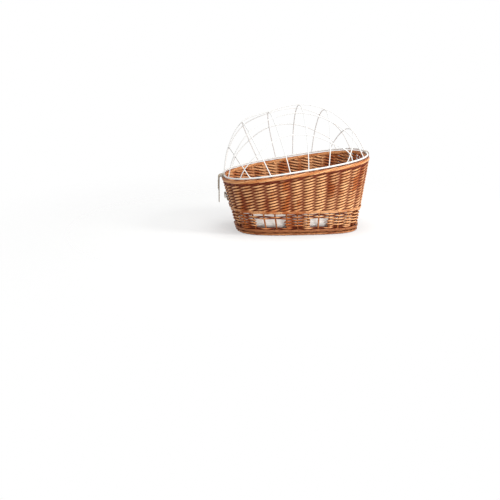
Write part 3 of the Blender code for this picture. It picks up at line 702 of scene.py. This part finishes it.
def cushion_ring(share, height, shrink=0.0):
    """A ring of the cushion at a share of its outline."""
    outline = wall(np.arange(0, 1, 1 / CUSHION_STEPS), OUTLINE_HEIGHT, -CUSHION_INSET - shrink)
    middle = np.array([centre_x, 0, 0])
    ring = middle + (outline - middle) * share
    ring[:, 2] = height
    return ring


def cushion_form(shrink):
    """Rings from the flat bottom over the seam to the crown, closed at both ends."""
    sink, crown = CUSHION_SEAM - CUSHION_BOTTOM - shrink, CUSHION_HEIGHT * 0.58 - shrink
    levels = [(share, CUSHION_SEAM - sink * (1 - share**16) ** 0.5) for share in (0.45, 0.8, 0.93, 0.985)]
    levels.append((1.0, CUSHION_SEAM))
    for share in (0.985, 0.94, 0.86, 0.74, 0.58, 0.4, 0.2):
        levels.append((share, CUSHION_SEAM + crown * (1 - share**5) ** 0.5))
    points = np.concatenate([cushion_ring(share, height, shrink) for share, height in levels])
    faces = tube_faces(len(levels), CUSHION_STEPS, False, 0)
    return points, faces


print("cushion outline:", np.round(cushion_ring(1.0, 0)[[0, 24, 48], :2], 3).tolist())

# %% [markdown]
# ## Cotton cover
# A plain canvas shows as a fine over and under of threads, with slubs, a trace of warmth in the
# hollows and a soft sheen. Two crossed waves make the threads. They are read in the object's own
# coordinates, so they don't slide when the cushion is seen from another side.

# %% Mix the cotton
THREADS = 5200.0


def cotton(name, colour):
    finish = Finish(name, Specular_IOR_Level=0.25, Sheen_Weight=0.25, Sheen_Roughness=0.5)
    spot = finish.place()
    slub = finish.noise(spot * (260.0, 900.0, 260.0))
    blotch = finish.noise(spot * 14.0, detail=3.0)
    x, y, z = (finish.axis(spot, letter) for letter in "XYZ")
    warp, weft = (
        finish.node("Math", {"operation": "SINE"}, {0: (way + z * 0.8) * THREADS}) for way in (x, y)
    )
    thread = warp * weft * 0.5 + 0.5
    shade = (thread * 0.22 + slub * 0.38 + blotch * 0.55).between(0.25, 1.0)
    shaded = finish.blend(shade, darker(colour, 0.84), colour)
    return finish.vary(shaded, 0.82 + slub * 0.14, thread * 0.5 + slub * 0.5, 0.00035)


cover_cotton = cotton("cover_cotton", (0.94, 0.92, 0.88))
print("cotton:", cover_cotton.material.name)

# %% Blow the cushion up
CLOTH_FRAMES, MOST_MOVED = 20, 0.003
CLOTH = {
    "quality": 6,
    "use_pressure": True,
    "uniform_pressure_force": 4.0,
    "tension_stiffness": 30,
    "compression_stiffness": 12,
    "shrink_min": -0.05,
}


def blow_up(piece):
    """Remeshes a form and lets cloth under pressure round it off, within the largest move."""
    bpy.context.view_layer.objects.active = piece
    remesh = piece.modifiers.new("remesh", "REMESH")
    remesh.mode = "VOXEL"
    remesh.voxel_size = 0.005
    bpy.ops.object.modifier_apply(modifier="remesh")
    rest = np.array([point.co for point in piece.data.vertices])
    cloth = piece.modifiers.new("cloth", "CLOTH")
    for key, value in CLOTH.items():
        setattr(cloth.settings, key, value)
    cloth.settings.effector_weights.gravity = 0
    cloth.point_cache.frame_start, cloth.point_cache.frame_end = 1, CLOTH_FRAMES
    for number in range(1, CLOTH_FRAMES + 1):
        bpy.context.scene.frame_set(number)
    bpy.context.view_layer.update()
    blown = piece.evaluated_get(bpy.context.evaluated_depsgraph_get()).data
    step = np.array([point.co for point in blown.vertices]) - rest
    piece.modifiers.remove(cloth)
    bpy.context.scene.frame_set(1)
    size = np.linalg.norm(step, axis=1, keepdims=True)
    spots = rest + step * np.minimum(1, MOST_MOVED / np.maximum(size, 1e-9))
    spots[:, 2] = np.clip(spots[:, 2], CUSHION_BOTTOM, CUSHION_BOTTOM + CUSHION_HEIGHT)
    piece.data.vertices.foreach_set("co", spots.astype(np.float32).ravel())
    piece.data.update()
    print("cushion blown up by", round(float(size.max()) * 1000, 1), "mm, kept to", MOST_MOVED * 1000)


# %% Lay the cushion in
points, faces = cushion_form(0.002)
cushion = new_piece("cushion_cover", points, faces, cover_cotton, "basket")
blow_up(cushion)
smooth = cushion.modifiers.new("smooth", "SUBSURF")
smooth.levels = smooth.render_levels = 1
bpy.ops.object.modifier_apply(modifier="smooth")
cushion.data.shade_smooth()
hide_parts("cushion")

piping = (cushion_ring(1.0, CUSHION_SEAM, 0.0006), 0.0018)
rods("cushion_piping", [piping], cover_cotton, slot="cushion_cloth", closed=True, seed=71)

# %% [markdown]
# ## Wire dome
# Six hoops stand across the ring, and five wires run over them from front to rear. All are steel
# wire, welded where they cross and dipped in white plastic, so the joints show as small soft lumps.
# A long wire passes over a hoop by both radii along the surface's own normal. Between the hoops it
# follows a smooth curve through those places, which is what a bent wire does by itself.

# %% Work out the ring and the hoops
RING_WIRE, NET_WIRE = 0.003, 0.0018
DOME_RISE, WELD_GAP = 0.2095, 0.0001
HOOP_FEET = (-0.70, -0.43, -0.17, 0.078, 0.356, 0.612)
HOOP_TOPS = (-0.925, -0.735, -0.367, 0.060, 0.417, 0.781)
HOOP_RISES = (0.427, 0.806, 0.928, 1.0, 0.862, 0.475)
OUTER = np.array([0.72, 0.80, 0.85, 0.785, 0.82, 0.87, 0.865, 0.846])
INNER = np.array([0.42, 0.50, 0.52, 0.385, 0.45, 0.545, 0.61, 0.645])
ARC_SIDES = (-OUTER, -INNER, 0 * INNER, INNER, OUTER)


def angle_at_share(share, trig):
    """The angle whose cosine or sine reaches a share of the ring's half length or half width."""
    return trig(signed_power(share, 1 / (1 - RIM_FULLNESS)))


def ring_point(angle):
    level = oval(angle, RIM_FULLNESS) * RING_HALF + [RIM_CENTRE, 0]
    return np.concatenate([level, rim_height(level[..., :1]) + RING_RISE], axis=-1)


def hoop_point(hoop, sweep):
    """Points on a hoop, for sweeps from 0 at its left foot to pi at its right foot."""
    foot = ring_point(angle_at_share(HOOP_FEET[hoop], np.arccos))
    up = np.sin(sweep)
    lean = (HOOP_TOPS[hoop] - HOOP_FEET[hoop]) * RING_HALF[0]
    rise = HOOP_RISES[hoop] * DOME_RISE
    return np.stack([foot[0] + lean * up, -foot[1] * np.cos(sweep), foot[2] + rise * up], axis=-1)


def crossing_sweep(hoop, side):
    half = ring_point(angle_at_share(HOOP_FEET[hoop], np.arccos))[1]
    return math.acos(-side * RING_HALF[1] / half)


print("hoops rise:", [round(share * DOME_RISE, 3) for share in HOOP_RISES], "m over the ring")

# %% Lead the long wires over the hoops
def smooth_line(points, count):
    """A smooth curve through points, with a number of steps between each two."""
    points = np.asarray(points, float)
    chords = np.linalg.norm(np.diff(points, axis=0), axis=1)
    speeds = np.diff(points, axis=0) / chords[:, None]
    before, after = chords[:-1, None], chords[1:, None]
    inner = (speeds[:-1] * after + speeds[1:] * before) / (before + after)
    ends = [speeds[end] * 1.5 - inner[end] * 0.5 for end in (0, -1)]
    slopes = np.concatenate([ends[:1], inner, ends[1:]])
    t = np.linspace(0, 1, count, endpoint=False)[:, None]
    line = [
        points[index] * (2 * t**3 - 3 * t**2 + 1)
        + slopes[index] * chord * (t**3 - 2 * t**2 + t)
        + points[index + 1] * (3 * t**2 - 2 * t**3)
        + slopes[index + 1] * chord * (t**3 - t**2)
        for index, chord in enumerate(chords)
    ]
    return np.concatenate(line + [points[-1:]])


def arc_places(sides):
    """A long wire's ends on the ring, and the places where it passes over each hoop."""
    front = ring_point(math.pi - angle_at_share(sides[0], np.arcsin))
    rear = ring_point(angle_at_share(sides[-1], np.arcsin))
    sweeps = [crossing_sweep(hoop, side) for hoop, side in enumerate(sides[1:-1])]
    line = [front] + [hoop_point(hoop, sweep) for hoop, sweep in enumerate(sweeps)] + [rear]
    over = []
    for hoop, sweep in enumerate(sweeps):
        across = hoop_point(hoop, sweep + 1e-4) - hoop_point(hoop, sweep - 1e-4)
        out = unit(np.cross(line[hoop + 2] - line[hoop], across))
        over.append(line[hoop + 1] + out * (2 * NET_WIRE + WELD_GAP))
    return [front] + over + [rear]


arc_stops = [arc_places(sides) for sides in ARC_SIDES]
print("dome top:", round(max(spot[2] for stops in arc_stops for spot in stops), 4), "m")

# %% [markdown]
# ## White coating
# Dipped plastic is smooth and satin. It is thicker at the welds, takes a faint grey where hands and
# the strap rub, and has a slight unevenness that breaks up its highlights.

# %% Mix the coating
def dipped_plastic(name, colour):
    finish = Finish(name, Specular_IOR_Level=0.5, Coat_Weight=0.15, Coat_Roughness=0.2)
    spot = finish.place()
    smear = finish.noise(spot * 22.0, detail=3.0)
    pits = finish.noise(spot * 420.0)
    worn = smear.between(0.58, 0.8)
    rubbed = finish.blend(worn * 0.35, colour, darker(colour, 0.82))
    return finish.vary(rubbed, 0.3 + pits * 0.16 + worn * 0.12, pits, 0.0002)


coating = dipped_plastic("dipped_white_plastic", (0.80, 0.80, 0.79))
print("coating:", coating.material.name)

# %% Bend the dome
WELD_RADIUS, FOOT_RADIUS = 0.0026, 0.0032


def wires(name, nodes, lines, radius, sides=12, **settings):
    """Coated wires of one radius, which replace nodes of the solid model."""
    lines = [(line, radius) for line in lines]
    piece = rods(name, lines, coating, "dome", "white_coating", sides, **settings)
    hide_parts(*nodes)


def beads(name, spots, radius, finish, body, rings=6, sides=10):
    """Small soft lumps, each a squat ball, at a list of places."""
    angle = math.pi * np.arange(1, rings)[:, None] / rings
    turn = 2 * math.pi * np.arange(sides) / sides
    parts = [np.cos(turn) * np.sin(angle), np.sin(turn) * np.sin(angle), np.cos(angle) + 0 * turn]
    around = np.stack(parts, axis=-1).reshape(-1, 3)
    ball = np.concatenate([[[0, 0, 1]], around, [[0, 0, -1]]])
    faces = []
    for number in range(len(spots)):
        start = number * len(ball)
        last = start + len(ball) - 1
        for side in range(sides):
            after = (side + 1) % sides
            faces.append((start, start + 1 + side, start + 1 + after))
            faces.append((last, last - sides + after, last - sides + side))
            for here in range(start + 1, last - sides, sides):
                faces.append((here + side, here + sides + side, here + sides + after, here + after))
    points = (np.array(spots)[:, None] + ball * radius).reshape(-1, 3)
    new_piece(name, points, faces, finish, body)
    print(f"{name}: {len(spots)} lumps")


ring_line = ring_point(np.interp(coarse, RIM_REACHED, ANGLES))
wires("dome_ring", ["cage_ring"], [ring_line], RING_WIRE, 14, closed=True)
hoop_lines = [hoop_point(hoop, np.linspace(0, math.pi, 73)) for hoop in range(6)]
hoop_nodes = [f"hoop_{number}" for number in range(1, 7)]
wires("dome_hoops", hoop_nodes, hoop_lines, NET_WIRE, hint=(1, 0, 0.01), seed=82)
arc_lines = [smooth_line(stops, 14) for stops in arc_stops]
arc_nodes = [f"arc_{number}" for number in range(1, 6)]
wires("dome_long_wires", arc_nodes, arc_lines, NET_WIRE, hint=(0.01, 1, 0), seed=83)

lumps = [
    (spot + hoop_point(hoop, crossing_sweep(hoop, side))) / 2
    for sides, stops in zip(ARC_SIDES, arc_stops)
    for hoop, (spot, side) in enumerate(zip(stops[1:-1], sides[1:-1]))
]
beads("dome_welds", lumps, WELD_RADIUS, coating, "dome")
feet = [
    stops[end] + (stops[inner] - stops[end]) * 0.02
    for stops in arc_stops
    for end, inner in ((0, 1), (-1, -2))
]
feet += [line[end] + [0, 0, 0.0012] for line in hoop_lines for end in (0, -1)]
beads("dome_foot_welds", feet, FOOT_RADIUS, coating, "dome")

# %% [markdown]
# ## Straps
# The straps are flat, undyed leather. A strap is a path in the basket's middle plane with a width,
# so a rounded rectangle is swept along the path, and its corners are cut smooth first. The slot for
# the dome's middle wire and the holes in the tail are then cut out, as a maker would punch them.

# %% Mix the leather
def strap_leather(name, dark, light, half_width):
    finish = Finish(name, Specular_IOR_Level=0.35)
    spot = finish.place()
    pore_sockets = {"Vector": spot, "Scale": 900.0}
    pores = finish.node("TexVoronoi", {"feature": "DISTANCE_TO_EDGE"}, pore_sockets)
    grain = pores.between(0.0, 0.12)
    mottle = finish.noise(spot * 90.0, detail=4.0, roughness=0.6)
    edge = abs(finish.axis(spot, "Y")).between(half_width - 0.0012, half_width - 0.0002)
    shade = (mottle * 0.9 + grain * 0.25 - 0.05).between(0.0, 1.0)
    colour = finish.blend(edge * 0.6, finish.blend(shade, dark, light), darker(dark, 0.5))
    return finish.vary(colour, 0.55 + mottle * 0.25, grain * 0.7 + mottle * 0.5, 0.0003)


leather = strap_leather("natural_leather", (0.42, 0.33, 0.24), (0.74, 0.66, 0.54), 0.011)
tab_leather = strap_leather("tab_leather", (0.42, 0.33, 0.24), (0.70, 0.62, 0.50), 0.010)
thread = Finish("waxed_thread", Base_Color=(0.78, 0.72, 0.60), Roughness=0.6)
print("leather:", leather.material.name, tab_leather.material.name)

# %% Cut the straps' paths
STRAP_WIDTH, STRAP_THICKNESS, TINY = 0.022, 0.002, 0.0003
LOOP = RING_WIRE + TINY + STRAP_THICKNESS / 2
LAYER = STRAP_THICKNESS + TINY
BORDER_SIDE = 0.008 + TINY + STRAP_THICKNESS / 2
SHOULDER = -RING_RISE - 0.0098
FACE = TINY + STRAP_THICKNESS / 2
TAIL, TAIL_LENGTH, DOUBLED_LENGTH = 0.018, 0.095, 0.049
PLATEAU = 0.22
LEG_TOP, OUTER_LEG, INNER_LEG = 0.018, 0.062, 0.078


def tip_point(side, out, rise):
    """A point in the middle plane, out from the ring's wire at a tip (1 rear, -1 front) and above it."""
    tip = ring_point(0.0 if side > 0 else math.pi)
    return tip + [side * out, 0, rise]


def on_wall(side, depth, width, off):
    """Where a flat strap lies on the outer wall at a tip, a depth below the border's top."""
    turn = 0.0 if side > 0 else 0.5
    height = rim_height(RIM_CENTRE + side * RING_HALF[0]) - depth
    hollow = wall(turn, height, WALL_REACH - 0.005)
    crest = wall(turn + (0.5 - PLATEAU) / STAKES, height, WALL_REACH)
    edge = hollow + (crest - hollow) * (width / 2 / abs(crest[1]))
    return np.array([edge[0] + side * off, 0, height])


def ring_loop(side):
    angles = np.linspace(math.pi / 2, 3 * math.pi / 2, 13)
    return [tip_point(side, LOOP * math.cos(angle), LOOP * math.sin(angle)) for angle in angles]


def over_border(side, reach, outer_layer):
    if outer_layer:
        rises = ((0.55 * reach, 0.8 * LOOP), (reach - 0.8 * LAYER, -0.1 * LOOP), (reach, -LOOP))
    else:
        rises = ((0.5 * reach, -0.92 * LOOP), (reach - 0.5 * LAYER, -1.15 * LOOP), (reach, -1.9 * LOOP))
    return [tip_point(side, out, rise) for out, rise in rises]


def rounded(path, rounds=2):
    """The path with its corners cut off, twice."""
    path = np.asarray(path, float)
    for _ in range(rounds):
        low = path[:-1] * 0.75 + path[1:] * 0.25
        high = path[:-1] * 0.25 + path[1:] * 0.75
        path = np.concatenate([path[:1], np.stack([low, high], axis=1).reshape(-1, 3)[1:-1], path[-1:]])
    return path


def around_tip(side, reach):
    """The strap's path round the ring: down from the outer layer, round the wire, under the border."""
    outer, inner = over_border(side, reach + LAYER, True), over_border(side, reach, False)
    return outer[::-1] + ring_loop(side) + inner

# %% Lead the straps round the ring
hinge_path = [on_wall(1, drop, STRAP_WIDTH, FACE + LAYER) for drop in (OUTER_LEG, LEG_TOP)]
hinge_path += [tip_point(1, BORDER_SIDE + LAYER, SHOULDER)] + around_tip(1, BORDER_SIDE)
hinge_path += [tip_point(1, BORDER_SIDE, SHOULDER)]
hinge_path += [on_wall(1, drop, STRAP_WIDTH, FACE) for drop in (LEG_TOP, INNER_LEG)]
tail_end = tip_point(-1, TAIL, -LOOP - TAIL_LENGTH)
closing_path = [tip_point(-1, TAIL + LAYER, -LOOP - DOUBLED_LENGTH)] + around_tip(-1, TAIL) + [tail_end]
print("strap paths:", len(hinge_path), len(closing_path), "places")

# %% Sweep a strap
def profile(width, height, bevel=0.0005, steps=3):
    """A rounded rectangle, as pairs of places across and up, with a number of places to a corner."""
    corners = []
    for index, signs in enumerate(((1, 1), (-1, 1), (-1, -1), (1, -1))):
        angle = (index + np.linspace(0, 1, steps)) * math.pi / 2
        centre = np.array(signs) * [width / 2 - bevel, height / 2 - bevel]
        corners.append(centre + bevel * np.stack([np.cos(angle), np.sin(angle)], axis=1))
    return np.concatenate(corners)


def face_outward(mesh):
    solid = bmesh.new()
    solid.from_mesh(mesh)
    bmesh.ops.recalc_face_normals(solid, faces=solid.faces)
    solid.to_mesh(mesh)
    solid.free()


def strap(name, node, path, width, thickness, finish, body, cuts):
    """A rounded rectangle swept along a path, with its holes cut by cutters."""
    path = rounded(path)
    forward = unit(np.gradient(path, axis=0))
    normal = np.stack([forward[:, 2], 0 * forward[:, 1], -forward[:, 0]], axis=1)
    shape = profile(width, thickness)
    points = path[:, None] + np.array([0, 1, 0]) * shape[:, :1] + normal[:, None] * shape[:, 1:]
    faces = tube_faces(len(path), len(shape), False, 0)
    piece = new_piece(name, points.reshape(-1, 3), faces, finish, body)
    face_outward(piece.data)
    for cutter in cuts:
        punched = piece.modifiers.new("punch", "BOOLEAN")
        punched.operation = "DIFFERENCE"
        punched.solver = "EXACT"
        punched.object = cutter
        bpy.context.view_layer.objects.active = piece
        bpy.ops.object.modifier_apply(modifier="punch")
        bpy.data.objects.remove(cutter)
    piece.data.shade_smooth()
    piece.data.set_sharp_from_angle(angle=math.radians(35))
    print(name, len(piece.data.polygons), "faces")
    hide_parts(node)


# %% Punch the straps
HOLES, FIRST_HOLE, HOLE_PITCH, HOLE_RADIUS = 4, 0.012, 0.009, 0.0017
CUT_REACH, HOLE_REACH = 0.03, 0.004
WIRE_SLOT_HALF, WIRE_SLOT_BELOW = 0.0033, 0.004


def punch(outline, low, high):
    """A cutter: an outline of (y, z) places, run along X between two places."""
    mesh = bpy.data.meshes.new("cutter")
    points = [(x, y, z) for x in (low, high) for y, z in outline]
    mesh.from_pydata(points, [], tube_faces(2, len(outline), False, 0))
    face_outward(mesh)
    return add_object("cutter", mesh)


def slot_cut(spot, half, below):
    """A cutter for the slot that a wire or the prong stands in."""
    low, high = spot[2] - below, spot[2] + CUT_REACH
    corners = [(-half, low), (half, low), (half, high), (-half, high)]
    return punch(corners, spot[0] - CUT_REACH, spot[0] + CUT_REACH)


def hole_cut(spot):
    angles = np.radians(np.arange(0, 360, 18))
    outline = np.stack([np.cos(angles), np.sin(angles)], axis=1) * HOLE_RADIUS + [0, spot[2]]
    return punch(outline, spot[0] - HOLE_REACH, spot[0] + HOLE_REACH)


tips = (tip_point(side, 0, 0) for side in (1, -1))
hinge_slot, closing_slot = (slot_cut(tip, WIRE_SLOT_HALF, WIRE_SLOT_BELOW) for tip in tips)
hinge = ("rear_hinge_strap", "hinge_strap", hinge_path)
strap(*hinge, STRAP_WIDTH, STRAP_THICKNESS, leather, "basket", [hinge_slot])
holes = [hole_cut(tail_end + [0, 0, FIRST_HOLE + number * HOLE_PITCH]) for number in range(HOLES)]
closing = ("front_closing_strap", "closing_strap", closing_path)
strap(*closing, STRAP_WIDTH, STRAP_THICKNESS, leather, "strap", [closing_slot] + holes)

# %% Stitch the straps
STITCH_PITCH, STITCH_LENGTH, THREAD_RADIUS, STITCH_SIDE = 0.0042, 0.0028, 0.00032, 0.0085


def stitches(name, top, end, half, out, body):
    """Short stitches down both edges of a strap's end and across it. out is the way off the leather."""
    left, right = np.array([0, -half, 0]), np.array([0, half, 0])
    sweep = np.linspace(-1, 1, 7)[:, None]
    rise = unit(np.array(out, float)) * (0.0004 * (1 - sweep**2) - 0.0001)
    lines = []
    for start, stop in ((top + left, end + left), (top + right, end + right), (end + left, end + right)):
        run = stop - start
        count = int(np.linalg.norm(run) / STITCH_PITCH)
        for number in range(count):
            middle = start + run * (number + 0.5) / count
            lines.append((middle + unit(run) * (sweep * STITCH_LENGTH / 2) + rise, THREAD_RADIUS))
    rods(name, lines, thread, body, "leather", sides=6, hint=(0.3, 0.9, 0.1), seed=91)


def on_tail(drop):
    """A place on the outer face of the closing strap's doubled part."""
    return tip_point(-1, TAIL + LAYER + STRAP_THICKNESS / 2, -LOOP - drop)


stitches("front_strap_stitches", on_tail(0.012), on_tail(0.047), STITCH_SIDE, (-1, 0, 0), "strap")
legs = [on_wall(1, drop, STRAP_WIDTH, FACE + LAYER + STRAP_THICKNESS / 2) for drop in (0.029, 0.060)]
stitches("rear_strap_stitches", *legs, STITCH_SIDE, (1, 0, 0.1), "basket")

# %% [markdown]
# ## Buckle
# A small frame of bent nickel-plated wire hangs by its upper bar in a folded tab, which is tied to
# the front wall. The prong hooks over the same bar. Both are tubes again, in a metal finish whose
# roughness varies with fine scratches.

# %% Bend the buckle
BAR_WIRE, PRONG_WIRE, TAB_THICKNESS, TAB_WIDTH = 0.0015, 0.001, 0.0018, 0.020
BUCKLE_DEPTH, BUCKLE_DROP, BUCKLE_HALF, CORNER = 0.062, 0.016, 0.0135, 0.003
BAR_CLEAR, PRONG_PAST = 0.0008, 0.0015


def plated(name, colour):
    finish = Finish(name, Metallic=1.0)
    spot = finish.place()
    scratches = finish.noise(spot * (300.0, 2600.0, 300.0))
    tarnish = finish.noise(spot * 160.0, detail=3.0).between(0.4, 0.8)
    dulled = finish.blend(tarnish * 0.4, colour, darker(colour, 0.6))
    return finish.vary(dulled, 0.2 + scratches * 0.22, scratches, 0.00008)


nickel = plated("nickel_plate", (0.78, 0.76, 0.72))
bar = on_wall(-1, BUCKLE_DEPTH, TAB_WIDTH, TINY + TAB_THICKNESS + TINY + BAR_WIRE + BAR_CLEAR)
outline = profile(2 * BUCKLE_HALF, BUCKLE_DROP, CORNER, steps=7) - [0, BUCKLE_DROP / 2]
frame_line = (bar + np.insert(outline, 0, 0, axis=1), BAR_WIRE)
across = {"closed": True, "hint": (1, 0, 0)}
frame_wire = rods("front_buckle_frame", [frame_line], nickel, "buckle", "nickel", 12, **across)
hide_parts("buckle_frame")

# %% Hang the prong
reach = BAR_WIRE + TINY + PRONG_WIRE
angles = np.radians(np.linspace(200, 0, 17))
hook = bar + np.stack([-np.cos(angles), 0 * angles, np.sin(angles)], axis=1) * reach
shank = bar + [[-reach, 0, -drop] for drop in np.linspace(0.002, BUCKLE_DROP + PRONG_PAST, 8)]
prong_line = np.concatenate([hook, shank])
thin = np.concatenate([np.full(len(prong_line) - 3, PRONG_WIRE), [0.0009, 0.0008, 0.0005]])
prong_lines = [(prong_line, thin)]
prong = rods("front_buckle_prong", prong_lines, nickel, "prong", "nickel", 10, hint=(0, 1, 0))
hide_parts("buckle_prong")

# %% Fold the tab round the bar
TAB_REACH = BAR_WIRE + TINY + TAB_THICKNESS / 2
TAB_FLAT, TAB_LAYER = TINY + TAB_THICKNESS / 2, TAB_THICKNESS + TINY
END_DEPTH, NEAR_DEPTH = BUCKLE_DEPTH + 0.028, BUCKLE_DEPTH + 0.014
PRONG_SLOT_HALF, PRONG_SLOT_BELOW = 0.0017, 0.006


def along_tab(off, depths):
    """Places down the front wall, a distance off it."""
    return [on_wall(-1, depth, TAB_WIDTH, off) for depth in depths]


tab_path = along_tab(TAB_FLAT, (END_DEPTH, NEAR_DEPTH))
angles = np.radians(np.linspace(163, -30, 15))
tab_path += [bar + [-TAB_REACH * math.cos(angle), 0, TAB_REACH * math.sin(angle)] for angle in angles]
tab_path += along_tab(TAB_FLAT + TAB_LAYER, (NEAR_DEPTH, END_DEPTH - TAB_THICKNESS))
prong_slot = slot_cut(bar, PRONG_SLOT_HALF, PRONG_SLOT_BELOW)
tab = ("front_buckle_tab", "buckle_tab", tab_path)
strap(*tab, TAB_WIDTH, TAB_THICKNESS, tab_leather, "basket", [prong_slot])
legs = along_tab(TAB_FLAT + TAB_LAYER + TAB_THICKNESS / 2, (NEAR_DEPTH + 0.001, END_DEPTH - 0.004))
stitches("tab_stitches", *legs, 0.0075, (-1, 0, 0.3), "basket")

# %% Rivet the doubled part of the closing strap
dark_brass = plated("dark_brass", (0.20, 0.13, 0.075))
rivet_spots = [on_tail(drop) for drop in (0.018, 0.026, 0.034, 0.042)]
beads("front_strap_rivets", rivet_spots, 0.0019, dark_brass, "strap")

# %% [markdown]
# ## Floor, light and background
# The picture has a white studio behind it. A wide pale floor takes a soft shadow and fades out before
# its edge shows. The world is white to the camera and in reflections, but lights the basket less, so
# that colours keep the level at which they are written. A lamp above and to the right shapes the
# rods, a wide one overhead lights the inside, and a low one in front reaches into the windows.

# %% Lay the studio floor
ground = bmesh.new()
bmesh.ops.create_circle(ground, cap_ends=True, segments=96, radius=4.0)
ground_mesh = bpy.data.meshes.new("studio_floor")
ground.to_mesh(ground_mesh)
ground.free()
studio_floor = add_object("studio_floor", ground_mesh)
floor_paint = Finish("floor_paint", Base_Color=(0.93, 0.935, 0.94), Roughness=0.9, Specular_IOR_Level=0.1)
away = floor_paint.node("VectorMath", {"operation": "LENGTH"}, {0: floor_paint.place()}, out="Value")
fade = 0.5 + away.between(0.3, 1.4) * 0.5
clear = floor_paint.node("BsdfTransparent", {}, {})
paint = Wire(floor_paint, floor_paint.shader.outputs[0])
mixed = floor_paint.node("MixShader", {}, {0: fade, 1: paint, 2: clear})
floor_paint.feed(floor_paint.tree.nodes["Material Output"].inputs["Surface"], mixed)
ground_mesh.materials.append(floor_paint.material)
print("studio floor:", len(ground_mesh.vertices), "points")

# %% Light the world
world = bpy.data.worlds.new("studio")
bpy.context.scene.world = world
world.use_nodes = True
nodes, link = world.node_tree.nodes, world.node_tree.links.new
rays = nodes.new("ShaderNodeLightPath")
seen = rays.outputs["Is Camera Ray"]
for kind in ("Is Glossy Ray", "Is Transmission Ray"):
    either = nodes.new("ShaderNodeMath")
    either.operation, either.use_clamp = "ADD", True
    link(seen, either.inputs[0])
    link(rays.outputs[kind], either.inputs[1])
    seen = either.outputs[0]
strength = nodes.new("ShaderNodeMapRange")
strength.inputs["To Min"].default_value = 0.5
link(seen, strength.inputs["Value"])
link(strength.outputs[0], nodes["Background"].inputs["Strength"])
nodes["Background"].inputs["Color"].default_value = (1, 1, 1, 1)
print("world:", len(nodes), "nodes")

# %% Hang the lamps
LAMPS = {
    "key_lamp": ((2.4, -1.5, 1.9), 60, 0.8, (1.0, 0.985, 0.95)),
    "top_lamp": ((0.2, -0.3, 2.6), 30, 1.6, (1.0, 0.99, 0.97)),
    "fill_lamp": ((0.9, -2.6, 0.35), 36, 1.0, (1.0, 0.99, 0.97)),
}
for name, (place, energy, size, colour) in LAMPS.items():
    light = add_object(name, bpy.data.lights.new(name, "AREA"))
    light.data.energy, light.data.size, light.data.color = energy, size, colour
    light.location = place
    light.rotation_euler = (Vector(place) - Vector((0, 0, 0.2))).to_track_quat("Z", "Y").to_euler()
print("lamps:", ", ".join(LAMPS))
